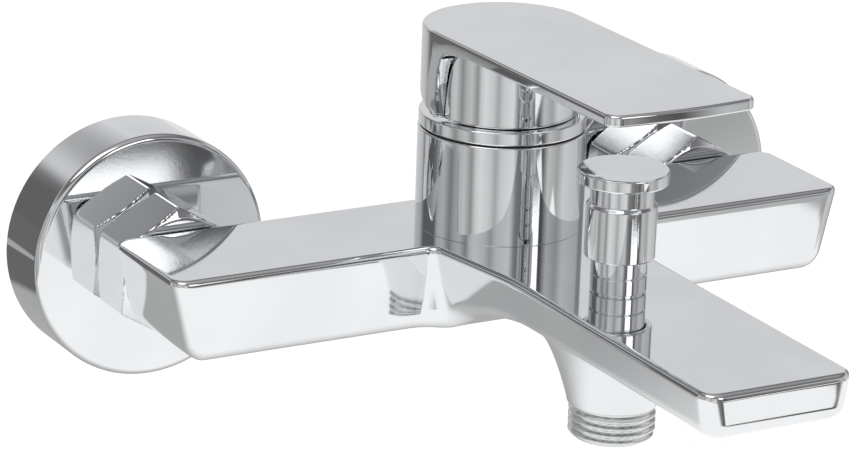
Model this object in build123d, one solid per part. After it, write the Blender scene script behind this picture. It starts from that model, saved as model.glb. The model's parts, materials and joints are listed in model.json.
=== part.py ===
from build123d import *
import math
import os

# Wall mounted bath mixer, millimetres.
# The frame's origin lies on the finished wall, midway between the two wall outlets.
# +X is to the right, +Y goes into the wall, +Z is up.
# Inside this file heights are counted from the mixer's inlet axis and forward distances
# from the wall; place() turns both into the frame.

# --- inlets ---------------------------------------------------------------------------
INLET_SPACING = 150.0
UNION_OFFSET = 8.0          # how far the inlet axis sits above the wall outlet's axis
WALL_THREAD_R = 10.478      # G 1/2 outside thread
WALL_THREAD_LEN = 14.0
UNION_THREAD_R = 13.22      # G 3/4 outside thread
UNION_END = 28.4
UNION_NECK = 4.0
UNION_SHOULDER_R = 11.4
UNION_SKIN = 3.0
UNION_BORE_R = 8.0
ROSE_R = 31.3
ROSE_DEPTH = 18.3
ROSE_WALL = 1.2
ROSE_EDGE_R = 1.4
NUT_FLATS = 30.0
NUT_LEN = 15.6
NUT_START_GAP = 0.4
NUT_END_CLEAR = 0.1         # chamfer circle inside the flats
NUT_STUB_GAP = 0.3
UNION_CRANK_START = 0.6
WASHER_INSET = 1.2
SCREEN_THICK = 0.4
SCREEN_HOLE_R = 0.45
SCREEN_PITCH = 1.5
WASHER_LEN = 2.0
FLANGE_LEN = 2.4
STUB_THREAD_LEN = 12.0
STUB_BORE_R = 5.6

# --- body -----------------------------------------------------------------------------
BAR_HALF = 94.6
BAR_REAR = 35.8
BAR_DEPTH = 36.0
BAR_ABOVE = 12.2
BAR_BELOW = 9.5
BAR_END_DRAFT = 13.4
BODY_WALL = 1.6
SPOUT_HALF = 20.3
SPOUT_ROOT_HALF = 25.0
SPOUT_REACH = 115.8         # bar front to spout tip
SPOUT_ROOT_LEN = 28.0
SPOUT_TIP_THICK = 11.2
ARCH_LEN = 24.0             # bar front to where the spout's underside runs level
ARCH_KNEE_LEN = 8.5
ARCH_KNEE = 4.3             # below the inlet axis
SPOUT_SIDE_DRAFT = 9.0
SPOUT_TIP_R = 4.0
TOP_EDGE_R = 1.5
LOWER_EDGE_R = 5.0
CHANNEL_R = 4.6
PORT_R = 3.4
PORT_SPREAD = 7.6
PORT_SETBACK = 1.0
MIX_HALF = 6.0
MIX_FLOOR = 1.0             # below the inlet axis
MIX_SEAT_PLATE = 1.9        # metal left under the cartridge
MIX_END = 12.2              # forward of the bar
MIX_RUN_START = 8.2         # forward of the bar
MIX_RUN_ROOF = 0.3          # below the upper valve seat
SPOUT_WAY_HALF = 9.0
ROOT_OVERLAP = 6.0

# --- tower and cartridge ----------------------------------------------------------------
TOWER_OUT = 59.8            # tower axis, forward of the wall
TOWER_R = 20.95
TOWER_HEIGHT = 25.0
SLEEVE_WALL = 1.35
CARTRIDGE_R = 17.4
SEAT_ABOVE = 6.5
SOCKET_HEIGHT = 34.0
SOCKET_WALL = 1.6
SLEEVE_LIP_INSET = 0.5
SLEEVE_LIP_GAP = 0.3
BASE_LEN = 3.2
DISC_LEN = 3.4
CARRIER_LEN = 3.4
PORT_SEAL_WALL = 1.2
PORT_SEAL_LEN = 1.2
PORT_STEP = 0.6
POCKET_LEN = 1.6
POCKET_HALF = 3.0
POCKET_BACK = 2.0
POCKET_FRONT = 5.0
DISC_TRAVEL = 2.1
DISC_SIDE_GAP = 0.6
HOUSING_WALL = 1.4
HOUSING_TOP = 31.0
HOUSING_LID = 1.7
HOUSING_LID_BORE_R = 11.0
PIVOT_HEIGHT = 25.6
PIN_R = 1.5
PIN_LEN = 20.0
GUIDE_WINDOW = 13.0
WINDOW_REACH = 9.4
PIN_BOSS_WALL = 2.2
PIN_SIDE_GAP = 0.3
STEM_R = 1.5
BALL_R = 2.2
BALL_HEIGHT = 19.9
BALL_CLEAR = 0.15
SPINDLE_SIDE = 7.0
SPINDLE_TOP = 57.2
CARTRIDGE_NUT_TOP = 36.0
CARTRIDGE_NUT_BORE_R = 12.5
KEY_SLOTS = 6
KEY_SLOT_SIDE = 3.0
KEY_SLOT_DEPTH = 2.0
RING_LEN = 3.4
RING_GAP = 0.4
RING_BORE_R = 14.6
RING_INSET = 0.15
RING_FOOT_GAP = 0.25
GASKET_INSET = 1.0

# --- lever --------------------------------------------------------------------------------
LEVER_R = 20.6
LEVER_TIP_HALF = 20.1
LEVER_REACH = 83.3
LEVER_TOP = 63.0
LEVER_RISE = 1.2
PADDLE_ROOT_THICK = 3.8
PADDLE_TIP_THICK = 2.8
LEVER_GAP = 0.4
LEVER_NECK_R = 18.2
LEVER_NECK_WALL = 1.7
SKIRT_WALL = 2.4
SKIRT_FRONT = 2.6           # the side walls reach this far forward of the tower axis
RELIEF_START = 2.2
WALL_LAP = 0.5              # lever walls run this far up into the plate
LAP = 0.01                  # neck stands proud of the hollow by this much
RELIEF_ANGLE = 20.0
HUB_SIDE = 15.0
HUB_BOTTOM = 46.0
SCREW_HEIGHT = 55.0
SCREW_R = 2.0
PLUG_R = 2.6
SCREW_KEY_R = 1.0
SCREW_KEY_DEPTH = 1.6
SPINDLE_END_GAP = 0.3

# --- diverter ------------------------------------------------------------------------------
DIVERTER_OUT = 116.5        # diverter and shower outlet axis, forward of the wall
CHAMBER_R = 7.0
CHAMBER_FLOOR = 3.0         # below the inlet axis
LOWER_CHAMBER = 9.5
VALVE_SEAT_R = 4.4
SEAT_PLATE = 1.2
BONNET_R = 6.75
BONNET_TOP = 32.0
BONNET_BORE_R = 4.4
BONNET_FOOT = 10.2
BONNET_FLOOR_LEN = 4.0
THREAD_FIT = 0.02           # radial clearance where a thread is screwed home
ROD_R = 2.5
KNOB_DISC_R = 11.0
KNOB_DISC_LEN = 3.1
KNOB_TOP = 42.3
KNOB_NECK_R = 7.6
KNOB_NECK_LEN = 4.8
KNOB_BARREL_R = 8.5
KNOB_BOTTOM = 20.8
KNOB_EDGE_R = 0.5
KNOB_ROOF = 0.6
KNOB_CAP_LEN = 1.2
KNOB_BORE_CLEAR = 0.35
VALVE_R = 6.2
VALVE_LEN = 1.9
VALVE_SEAL_LEN = 0.9
VALVE_SEAL_INSET = 0.2
ROD_FOOT_R = 1.5
SPRING_WIRE = 0.8
SPRING_TURNS = 4
SPRING_ROD_GAP = 0.4
COLLAR_LEN = 1.2
COLLAR_GAP = 0.3
BONNET_CAP_LEN = 1.6
RETAINER_LEN = 2.0
ROD_SEAL_LEN = 1.5
ROD_SEAL_GAP = 0.1

# --- outlets ----------------------------------------------------------------------------------
NECK_TOP_R = 18.0
NECK_FOOT_R = 11.6
NECK_FOOT = 15.8            # below the inlet axis
NECK_LAP = 0.5              # neck runs this far up into the spout
NIPPLE_LEN = 8.5
NIPPLE_SPIGOT_R = 9.2
NIPPLE_SPIGOT_LEN = 5.0
NIPPLE_BORE_R = 7.6
CHECK_LEN = 11.0
CHECK_BORE_R = 6.0
POPPET_R = 4.6
POPPET_LEN = 1.6
POPPET_STEM_R = 1.1
CHECK_SEAT_LEN = 1.4
CHECK_SEAT_LAP = 1.0
CHECK_SETBACK = 1.6
SPIDER_HALF = 1.0
CHECK_SPRING_R = 2.6
CHECK_SPRING_WIRE = 0.5
CHECK_SPRING_TURNS = 4
AERATOR_R = 10.4
AERATOR_DEPTH = 5.4
AERATOR_BACK = 13.4         # axis, back from the spout tip
AERATOR_WALL = 1.3
AERATOR_SETBACK = 0.3
INSERT_SETBACK = 1.4
INSERT_LEN = 2.4
INSERT_HOLE_R = 0.6
INSERT_PITCH = 2.9
AERATOR_WASHER_LEN = 1.4
AERATOR_WASHER_WIDTH = 2.3

FIT = 0.05                  # radial clearance of a turning or sliding fit
PLAY = 0.3                  # gap between pieces that never touch
OVER = 1.0                  # how far a cutter runs past the face it opens

# --- derived places -------------------------------------------------------------------------
BAR_FRONT = BAR_REAR + BAR_DEPTH
SPOUT_TIP = BAR_FRONT + SPOUT_REACH
SPOUT_UNDER = BAR_ABOVE - SPOUT_TIP_THICK
TOWER_TOP = BAR_ABOVE + TOWER_HEIGHT
RING_BOTTOM = TOWER_TOP + RING_GAP
RING_TOP = RING_BOTTOM + RING_LEN
LEVER_BOTTOM = RING_TOP + LEVER_GAP
SOCKET_R = CARTRIDGE_R + FIT
STUB_R = BAR_BELOW - BODY_WALL
NUT_START = ROSE_DEPTH + NUT_START_GAP
NUT_END = NUT_START + NUT_LEN
WASHER_END = UNION_END + WASHER_LEN
FLANGE_END = WASHER_END + FLANGE_LEN
STUB_END = BAR_REAR + STUB_THREAD_LEN
CHANNEL_OUT = STUB_END + 4.0
BASE_TOP = SEAT_ABOVE + BASE_LEN
FIXED_TOP = BASE_TOP + DISC_LEN
MOVING_BOTTOM = FIXED_TOP + 0.02
MOVING_TOP = MOVING_BOTTOM + DISC_LEN
CARRIER_TOP = MOVING_TOP + CARRIER_LEN
GUIDE_BOTTOM = CARRIER_TOP + 0.3
HOUSING_INNER_R = CARTRIDGE_R - HOUSING_WALL
GUIDE_TOP = HOUSING_TOP - HOUSING_LID - 0.1
MOVING_R = HOUSING_INNER_R - DISC_TRAVEL - DISC_SIDE_GAP
UPPER_SEAT = LOWER_CHAMBER - CHAMBER_FLOOR
RUN_FLOOR = SPOUT_UNDER + BODY_WALL
VALVE_STACK_TOP = -CHAMBER_FLOOR + VALVE_LEN + 2 * VALVE_SEAL_LEN
AERATOR_OUT = SPOUT_TIP - AERATOR_BACK
PORT_OUT = CHANNEL_OUT + PORT_SETBACK
MIX_OUT = TOWER_OUT + PORT_SPREAD
BONNET_FLOOR = BONNET_FOOT + BONNET_FLOOR_LEN
RETAINER_TOP = BONNET_FLOOR + 2 * ROD_SEAL_LEN + ROD_SEAL_GAP + RETAINER_LEN
COLLAR_BOTTOM = RETAINER_TOP + COLLAR_GAP
KNOB_NECK_FOOT = KNOB_TOP - KNOB_DISC_LEN - KNOB_NECK_LEN
ROD_TOP = KNOB_TOP - KNOB_CAP_LEN
LEVER_TIP = TOWER_OUT + LEVER_REACH
WALL_TOP = LEVER_TOP - PADDLE_ROOT_THICK + WALL_LAP
OUTLET_END = NECK_FOOT + NIPPLE_LEN
CHECK_FOOT = -OUTLET_END + CHECK_SETBACK
CHECK_TOP = CHECK_FOOT + CHECK_LEN


def up(radius, low, high, x=0.0, out=0.0):
    """Upright cylinder between two heights."""
    mid = (low + high) / 2
    return Pos(x, -out, mid) * Cylinder(radius, high - low)


def up_tube(outer, inner, low, high, x=0.0, out=0.0):
    """Upright tube between two heights."""
    return up(outer, low, high, x, out) - up(inner, low - OVER, high + OVER, x, out)


def outward(radius, start, end, x=0.0, height=0.0):
    """Cylinder square to the wall between two distances from it."""
    mid = -(start + end) / 2
    return Pos(x, mid, height) * Rot(90, 0, 0) * Cylinder(radius, end - start)


def outward_tube(outer, inner, start, end, x=0.0, height=0.0):
    """Tube square to the wall between two distances from it."""
    bore = outward(inner, start - OVER, end + OVER, x, height)
    return outward(outer, start, end, x, height) - bore


def block(x0, x1, out0, out1, low, high):
    """Box from two corners."""
    mid = Pos((x0 + x1) / 2, -(out0 + out1) / 2, (low + high) / 2)
    return mid * Box(x1 - x0, out1 - out0, high - low)


def perforated_plate(radius, thick, hole_r, pitch):
    """Flat round plate at the origin with holes in a hexagon pattern."""
    shape = Cylinder(radius, thick)
    rows = int(2 * radius / pitch) + 2
    for spot in HexLocations(pitch / math.sqrt(3), rows, rows):
        if math.hypot(spot.position.X, spot.position.Y) < radius - 2 * hole_r:
            shape -= spot * Cylinder(hole_r, thick + OVER)
    return shape


def side_prism(points, half):
    """Outline of (forward distance, height) points, carried from -half to +half in X."""
    outline = Polyline([(0, -p[0], p[1]) for p in points], close=True)
    return extrude(make_face(outline), amount=half, dir=(1, 0, 0), both=True)


def plan_prism(points, low, high):
    """Outline of (x, forward distance) points, carried between two heights."""
    outline = Polyline([(p[0], -p[1], low) for p in points], close=True)
    return extrude(make_face(outline), amount=high - low, dir=(0, 0, 1))


def front_prism(points, start, end):
    """Outline of (x, height) points, carried between two distances from the wall."""
    outline = Polyline([(p[0], -start, p[1]) for p in points], close=True)
    return extrude(make_face(outline), amount=end - start, dir=(0, -1, 0))


def place(shape):
    """Lift a shape from the inlet axis to the frame, whose origin is the wall outlets' axis."""
    return Pos(0, 0, UNION_OFFSET) * shape


# --- inlet pieces ---------------------------------------------------------------------------
def eccentric_union(x):
    """Offset connector: wall thread, shoulder, crank and union thread, bored through."""
    low = -UNION_OFFSET
    shape = outward(WALL_THREAD_R, -WALL_THREAD_LEN, 0, x, low)
    shape += outward(UNION_SHOULDER_R, 0, UNION_NECK, x, low)
    shape += outward(UNION_THREAD_R, UNION_CRANK_START, UNION_END, x)
    wall_bore_r = WALL_THREAD_R - UNION_SKIN
    shape -= outward(wall_bore_r, -WALL_THREAD_LEN - OVER, UNION_NECK - OVER, x, low)
    return shape - outward(UNION_BORE_R, UNION_NECK / 2, UNION_END + OVER, x)


def rose(x):
    """Pressed wall rose: a round cup with a rolled front edge, open at the wall."""
    cup = outward(ROSE_R, 0, ROSE_DEPTH, x)
    front = cup.edges().sort_by(Axis.Y)[0]
    cup = fillet(front, ROSE_EDGE_R)
    cup -= outward(ROSE_R - ROSE_WALL, -OVER, ROSE_DEPTH - ROSE_WALL, x)
    return cup - outward(UNION_THREAD_R + FIT, 0, ROSE_DEPTH + OVER, x)


def union_nut(x):
    """Hexagon nut, corner up, with an inner shoulder that pulls on the stub's flange."""
    hexagon = RegularPolygon(NUT_FLATS / 2, 6, major_radius=False, rotation=30)
    prism = extrude(Plane.XZ.offset(NUT_START) * Pos(x, 0) * hexagon, amount=NUT_LEN)
    across = NUT_FLATS / math.sqrt(3)
    end_r = NUT_FLATS / 2 - NUT_END_CLEAR
    slope = (across - end_r) / math.tan(math.radians(60))
    round_bar = outward(across, NUT_START + slope, NUT_END - slope, x)
    front = Pos(x, -(NUT_END - slope / 2), 0) * Rot(90, 0, 0) * Cone(across, end_r, slope)
    rear = Pos(x, -(NUT_START + slope / 2), 0) * Rot(-90, 0, 0) * Cone(across, end_r, slope)
    shape = prism & (round_bar + front + rear)
    shape -= outward(UNION_THREAD_R + FIT, NUT_START - OVER, FLANGE_END, x)
    return shape - outward(STUB_R + NUT_STUB_GAP, FLANGE_END - OVER, NUT_END + OVER, x)


def filter_washer(x):
    """Flat rubber washer between union and stub."""
    return outward_tube(UNION_THREAD_R - WASHER_INSET, STUB_BORE_R, UNION_END, WASHER_END, x)


def filter_screen(x):
    """Dirt screen in the washer's hole."""
    plate = perforated_plate(STUB_BORE_R, SCREEN_THICK, SCREEN_HOLE_R, SCREEN_PITCH)
    return Pos(x, -(UNION_END + WASHER_LEN / 2), 0) * Rot(90, 0, 0) * plate


def inlet_stub(x):
    """Flanged stub screwed into the body, held by the union nut."""
    shape = outward(UNION_THREAD_R - WASHER_INSET, WASHER_END, FLANGE_END, x)
    shape += outward(STUB_R, FLANGE_END, STUB_END, x)
    return shape - outward(STUB_BORE_R, WASHER_END - OVER, STUB_END + OVER, x)


# --- body -----------------------------------------------------------------------------------
def rounded_bar():
    """The cross bar: a rounded section along X, with its ends leaning in downwards."""
    section = side_prism(
        [(BAR_REAR, BAR_ABOVE), (BAR_FRONT, BAR_ABOVE), (BAR_FRONT, -BAR_BELOW), (BAR_REAR, -BAR_BELOW)],
        BAR_HALF + 5,
    )
    long_edges = section.edges().filter_by(Axis.X)
    section = fillet(long_edges.group_by(Axis.Z)[-1], TOP_EDGE_R)
    low_edges = section.edges().filter_by(Axis.X).group_by(Axis.Z)[0]
    section = fillet(low_edges, min(LOWER_EDGE_R, BAR_BELOW * 0.8))
    lean = (BAR_ABOVE + BAR_BELOW) * math.tan(math.radians(BAR_END_DRAFT))
    foot = BAR_HALF - lean
    ends = front_prism(
        [(-BAR_HALF, BAR_ABOVE), (BAR_HALF, BAR_ABOVE), (foot, -BAR_BELOW), (-foot, -BAR_BELOW)],
        BAR_REAR - 5, BAR_FRONT + 5,
    )
    low_edges = ends.edges().filter_by(Axis.Y).group_by(Axis.Z)[0]
    return section & fillet(low_edges, min(LOWER_EDGE_R, BAR_BELOW * 0.8))


def spout_arm():
    """The spout: plan outline, leaning sides and arched underside, cut from each other."""
    start = BAR_FRONT - ROOT_OVERLAP
    root = BAR_FRONT + SPOUT_ROOT_LEN
    plan = plan_prism(
        [(-SPOUT_ROOT_HALF, start), (-SPOUT_ROOT_HALF, BAR_FRONT), (-SPOUT_HALF, root),
         (-SPOUT_HALF, SPOUT_TIP), (SPOUT_HALF, SPOUT_TIP), (SPOUT_HALF, root),
         (SPOUT_ROOT_HALF, BAR_FRONT), (SPOUT_ROOT_HALF, start)],
        -BAR_BELOW, BAR_ABOVE,
    )
    tip_edges = plan.edges().filter_by(Axis.Z).sort_by(Axis.Y)[0:2]
    plan = fillet(tip_edges, SPOUT_TIP_R)
    side = side_prism(
        [(start, BAR_ABOVE), (SPOUT_TIP, BAR_ABOVE), (SPOUT_TIP, SPOUT_UNDER),
         (BAR_FRONT + ARCH_LEN, SPOUT_UNDER), (BAR_FRONT + ARCH_KNEE_LEN, -ARCH_KNEE),
         (BAR_FRONT, -BAR_BELOW), (start, -BAR_BELOW)],
        SPOUT_ROOT_HALF + 5,
    )
    lean = (BAR_ABOVE + BAR_BELOW) * math.tan(math.radians(SPOUT_SIDE_DRAFT))
    top = SPOUT_ROOT_HALF + 1
    tube = front_prism(
        [(-top, BAR_ABOVE), (top, BAR_ABOVE), (top - lean, -BAR_BELOW), (lean - top, -BAR_BELOW)],
        start, SPOUT_TIP,
    )
    low_edges = tube.edges().filter_by(Axis.Y).group_by(Axis.Z)[0]
    tube = fillet(low_edges, LOWER_EDGE_R)
    return plan & side & tube


def shower_neck():
    """Cone under the spout that carries the shower outlet."""
    length = NECK_FOOT + SPOUT_UNDER + NECK_LAP
    cone = Cone(NECK_FOOT_R, NECK_TOP_R, length)
    return Pos(0, -DIVERTER_OUT, -NECK_FOOT + length / 2) * cone


def inlet_ways(side):
    """Stub bore, cross channel and port of one inlet."""
    x = side * INLET_SPACING / 2
    ways = outward(STUB_R, BAR_REAR - OVER, STUB_END, x)
    ways += outward(CHANNEL_R, STUB_END - OVER, CHANNEL_OUT + CHANNEL_R, x)
    run = abs(x) - PORT_SPREAD
    middle = side * (PORT_SPREAD + run / 2)
    ways += Pos(middle, -CHANNEL_OUT, 0) * Rot(0, 90, 0) * Cylinder(CHANNEL_R, run)
    return ways + up(PORT_R, 0, SEAT_ABOVE + OVER, side * PORT_SPREAD, PORT_OUT)


def mixed_ways():
    """Mixed port, the pocket below it and the run to the lower chamber of the diverter."""
    ways = up(PORT_R, -MIX_FLOOR, SEAT_ABOVE + OVER, 0, MIX_OUT)
    end = BAR_FRONT + MIX_END
    roof = SEAT_ABOVE - MIX_SEAT_PLATE
    ways += block(-MIX_HALF, MIX_HALF, MIX_OUT - PORT_R, end, -MIX_FLOOR, roof)
    start = BAR_FRONT + MIX_RUN_START
    roof = UPPER_SEAT - MIX_RUN_ROOF
    return ways + block(-MIX_HALF, MIX_HALF, start, DIVERTER_OUT, RUN_FLOOR, roof)


def diverter_ways():
    """Two chambers, the seat openings and the bonnet's thread."""
    ways = up(CHAMBER_R, -CHAMBER_FLOOR, UPPER_SEAT, 0, DIVERTER_OUT)
    ways += up(VALVE_SEAT_R, -NECK_FOOT - OVER, BAR_ABOVE, 0, DIVERTER_OUT)
    return ways + up(CHAMBER_R, UPPER_SEAT + SEAT_PLATE, BAR_ABOVE + OVER, 0, DIVERTER_OUT)


def outlet_ways():
    """Spout channel, aerator recess and the shower outlet's thread."""
    half = SPOUT_WAY_HALF
    floor = UPPER_SEAT + SEAT_PLATE
    roof = BONNET_FOOT - PLAY
    ways = block(-half, half, DIVERTER_OUT, AERATOR_OUT, floor, roof)
    start = DIVERTER_OUT + CHAMBER_R + BODY_WALL
    end = AERATOR_OUT - AERATOR_R - BODY_WALL
    ways += block(-half, half, start, end, RUN_FLOOR, roof)
    ways += up(AERATOR_R, SPOUT_UNDER - LOWER_EDGE_R, SPOUT_UNDER + AERATOR_DEPTH, 0, AERATOR_OUT)
    ways += up(AERATOR_R - AERATOR_WASHER_WIDTH, SPOUT_UNDER, roof, 0, AERATOR_OUT)
    thread_top = -NECK_FOOT + NIPPLE_SPIGOT_LEN
    return ways + up(NIPPLE_SPIGOT_R, -NECK_FOOT - OVER, thread_top, 0, DIVERTER_OUT)


def water_ways():
    """Everything that is bored or cored out of the body."""
    ways = up(SOCKET_R, SEAT_ABOVE, TOWER_TOP + OVER, 0, TOWER_OUT)
    ways += inlet_ways(-1) + inlet_ways(1)
    return ways + mixed_ways() + diverter_ways() + outlet_ways()


def body_casting():
    """Bar, spout, neck and cartridge socket in one casting, with its water ways."""
    socket = up(SOCKET_R + SOCKET_WALL, 0, SOCKET_HEIGHT, 0, TOWER_OUT)
    solid = rounded_bar() + spout_arm() + shower_neck() + socket
    return solid - water_ways()


# --- tower ----------------------------------------------------------------------------------
def tower_sleeve():
    """Plain polished sleeve over the cartridge socket."""
    sleeve = up_tube(TOWER_R, TOWER_R - SLEEVE_WALL, BAR_ABOVE, TOWER_TOP, 0, TOWER_OUT)
    lip_low = SOCKET_HEIGHT + SLEEVE_LIP_GAP
    lip = up_tube(TOWER_R - SLEEVE_LIP_INSET, SOCKET_R + PLAY, lip_low, TOWER_TOP, 0, TOWER_OUT)
    return sleeve + lip


def cartridge_base():
    """Plastic foot of the cartridge with three ports and seal pockets."""
    shape = up(CARTRIDGE_R, SEAT_ABOVE, BASE_TOP, 0, TOWER_OUT)
    for x, out in port_places():
        shape -= up(PORT_R - PORT_STEP, SEAT_ABOVE - OVER, BASE_TOP + OVER, x, out)
        shape -= up(PORT_R + PORT_SEAL_WALL, SEAT_ABOVE - OVER, SEAT_ABOVE + PORT_SEAL_LEN, x, out)
    return shape


def port_places():
    """The three ports: hot, cold and mixed."""
    return [(-PORT_SPREAD, PORT_OUT), (PORT_SPREAD, PORT_OUT), (0.0, MIX_OUT)]


def base_seals():
    """Three rubber seals under the cartridge, one around each port."""
    seals = []
    for x, out in port_places():
        top = SEAT_ABOVE + PORT_SEAL_LEN
        seals.append(up_tube(PORT_R + PORT_SEAL_WALL, PORT_R, SEAT_ABOVE, top, x, out))
    return Compound(seals)


def fixed_disc():
    """Lower ceramic disc, keyed in the housing."""
    shape = up(HOUSING_INNER_R - FIT, BASE_TOP, FIXED_TOP, 0, TOWER_OUT)
    for x, out in port_places():
        shape -= up(PORT_R - PORT_STEP, BASE_TOP - OVER, FIXED_TOP + OVER, x, out)
    return shape


def moving_disc():
    """Upper ceramic disc with a mixing pocket in its lower face."""
    shape = up(MOVING_R, MOVING_BOTTOM, MOVING_TOP, 0, TOWER_OUT)
    back = TOWER_OUT - POCKET_BACK
    front = TOWER_OUT + POCKET_FRONT
    roof = MOVING_BOTTOM + POCKET_LEN
    return shape - block(-POCKET_HALF, POCKET_HALF, back, front, MOVING_BOTTOM - OVER, roof)


def disc_carrier():
    """Plastic driver on the moving disc, with a slot for the spindle's ball."""
    shape = up(MOVING_R, MOVING_TOP, CARRIER_TOP, 0, TOWER_OUT)
    half = BALL_R + BALL_CLEAR
    slot = block(-half, half, TOWER_OUT - half, TOWER_OUT + half, MOVING_TOP, CARRIER_TOP + OVER)
    return shape - slot


def cartridge_housing():
    """Plastic cup that holds discs and guide, screwed down by the cartridge nut."""
    shape = up_tube(CARTRIDGE_R, HOUSING_INNER_R, BASE_TOP, HOUSING_TOP, 0, TOWER_OUT)
    low = HOUSING_TOP - HOUSING_LID
    return shape + up_tube(CARTRIDGE_R, HOUSING_LID_BORE_R, low, HOUSING_TOP, 0, TOWER_OUT)


def swivel_guide():
    """Ring that turns in the housing and carries the spindle's pin."""
    shape = up(HOUSING_INNER_R - FIT, GUIDE_BOTTOM, GUIDE_TOP, 0, TOWER_OUT)
    half = GUIDE_WINDOW / 2
    back = TOWER_OUT - WINDOW_REACH
    front = TOWER_OUT + WINDOW_REACH
    window = block(-half, half, back, front, GUIDE_BOTTOM - OVER, GUIDE_TOP + OVER)
    return shape - window - pin_bar(PIN_LEN)


def pin_bar(length, radius=PIN_R):
    """Bar along the tilt axis."""
    return Pos(0, -TOWER_OUT, PIVOT_HEIGHT) * Rot(0, 90, 0) * Cylinder(radius, length)


def spindle():
    """Square spindle with a pivot boss and a ball foot."""
    half = SPINDLE_SIDE / 2
    shape = block(-half, half, TOWER_OUT - half, TOWER_OUT + half, PIVOT_HEIGHT, SPINDLE_TOP)
    shape += pin_bar(GUIDE_WINDOW - 2 * PIN_SIDE_GAP, PIN_R + PIN_BOSS_WALL)
    shape += up(STEM_R, BALL_HEIGHT, PIVOT_HEIGHT, 0, TOWER_OUT)
    shape += Pos(0, -TOWER_OUT, BALL_HEIGHT) * Sphere(BALL_R)
    return shape - pin_bar(GUIDE_WINDOW + OVER, PIN_R + FIT)


def cartridge_nut():
    """Threaded ring that clamps the cartridge, with key slots in its bore."""
    top = CARTRIDGE_NUT_TOP
    shape = up_tube(SOCKET_R - THREAD_FIT, CARTRIDGE_NUT_BORE_R, HOUSING_TOP, top, 0, TOWER_OUT)
    cutter = Box(KEY_SLOT_SIDE, KEY_SLOT_SIDE, 2 * KEY_SLOT_DEPTH)
    for step in range(KEY_SLOTS):
        turn = Rot(0, 0, step * 360 / KEY_SLOTS)
        shape -= Pos(0, -TOWER_OUT, top) * turn * Pos(CARTRIDGE_NUT_BORE_R, 0, 0) * cutter
    return shape


def trim_ring():
    """Polished ring between sleeve and lever, standing on the cartridge nut."""
    band = up(TOWER_R - RING_INSET, RING_BOTTOM, RING_TOP, 0, TOWER_OUT)
    foot = up(SOCKET_R - RING_FOOT_GAP, CARTRIDGE_NUT_TOP, RING_BOTTOM, 0, TOWER_OUT)
    return band + foot - up(RING_BORE_R, 0, RING_TOP + OVER, 0, TOWER_OUT)


def ring_gasket():
    """Thin rubber ring in the groove between sleeve and trim ring."""
    return up_tube(TOWER_R - GASKET_INSET, SOCKET_R + PLAY, TOWER_TOP, RING_BOTTOM, 0, TOWER_OUT)


# --- lever ----------------------------------------------------------------------------------
def lever_plan(radius, tip_half, low, high):
    """D-shaped outline: a half round at the back, straight sides to the tip."""
    back = up(radius, low, high, 0, TOWER_OUT)
    points = [(-radius, TOWER_OUT), (-tip_half, LEVER_TIP), (tip_half, LEVER_TIP), (radius, TOWER_OUT)]
    return back + plan_prism(points, low, high)


def paddle():
    """The flat plate of the lever, rising slightly to its tip."""
    under = LEVER_TOP - PADDLE_ROOT_THICK
    tip_top = LEVER_TOP + LEVER_RISE
    plate = lever_plan(LEVER_R, LEVER_TIP_HALF, under - OVER, tip_top + OVER)
    rear = TOWER_OUT - LEVER_R - OVER
    rear_top = LEVER_TOP - (TOWER_OUT - rear) * LEVER_RISE / LEVER_REACH
    side = side_prism(
        [(rear, rear_top), (LEVER_TIP, tip_top), (LEVER_TIP, tip_top - PADDLE_TIP_THICK),
         (TOWER_OUT + LEVER_NECK_R, under), (rear, under)],
        LEVER_R + OVER,
    )
    return plate & side


def lever_skirt():
    """Side and back wall of the lever, open towards the front."""
    inner = LEVER_R - SKIRT_WALL
    front = TOWER_OUT + SKIRT_FRONT
    wall = up(LEVER_R, LEVER_BOTTOM, WALL_TOP, 0, TOWER_OUT)
    wall += block(-LEVER_R, LEVER_R, TOWER_OUT, front, LEVER_BOTTOM, WALL_TOP)
    low = LEVER_BOTTOM - OVER
    high = WALL_TOP + OVER
    hollow = up(inner, low, high, 0, TOWER_OUT)
    hollow += block(-inner, inner, TOWER_OUT, front + OVER, low, high)
    ahead = block(-LEVER_R - OVER, LEVER_R + OVER, front, front + LEVER_R, low, high)
    return wall - hollow - ahead


def lever_neck():
    """Round front wall under the plate."""
    inner = LEVER_NECK_R - LEVER_NECK_WALL
    return up_tube(LEVER_NECK_R + LAP, inner, LEVER_BOTTOM, WALL_TOP, 0, TOWER_OUT)


def relief_wedge():
    """Space taken from the lever's lower rear so that it clears the ring when lifted."""
    start = TOWER_OUT + RELIEF_START
    rear = start - LEVER_R * 2
    rise = (start - rear) * math.tan(math.radians(RELIEF_ANGLE))
    foot = LEVER_BOTTOM - OVER
    points = [(start, LEVER_BOTTOM), (rear, LEVER_BOTTOM + rise), (rear, foot), (start, foot)]
    return side_prism(points, LEVER_R + OVER)


def square_bar(half, low, high):
    """Square bar on the tower axis."""
    return block(-half, half, TOWER_OUT - half, TOWER_OUT + half, low, high)


def lever_handle():
    """Plate, skirt, neck and hub of the lever, with its square socket and screw holes."""
    half = HUB_SIDE / 2
    hub = square_bar(half, HUB_BOTTOM, WALL_TOP)
    shape = lever_skirt() + lever_neck() - relief_wedge() + paddle() + hub
    square = SPINDLE_SIDE / 2 + FIT
    shape -= square_bar(square, HUB_BOTTOM - OVER, SPINDLE_TOP + SPINDLE_END_GAP)
    hub_back = TOWER_OUT - half - OVER
    shape -= outward(SCREW_R, hub_back, TOWER_OUT - square + OVER, 0, SCREW_HEIGHT)
    return shape - outward(PLUG_R, TOWER_OUT - LEVER_R - OVER, hub_back, 0, SCREW_HEIGHT)


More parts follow.
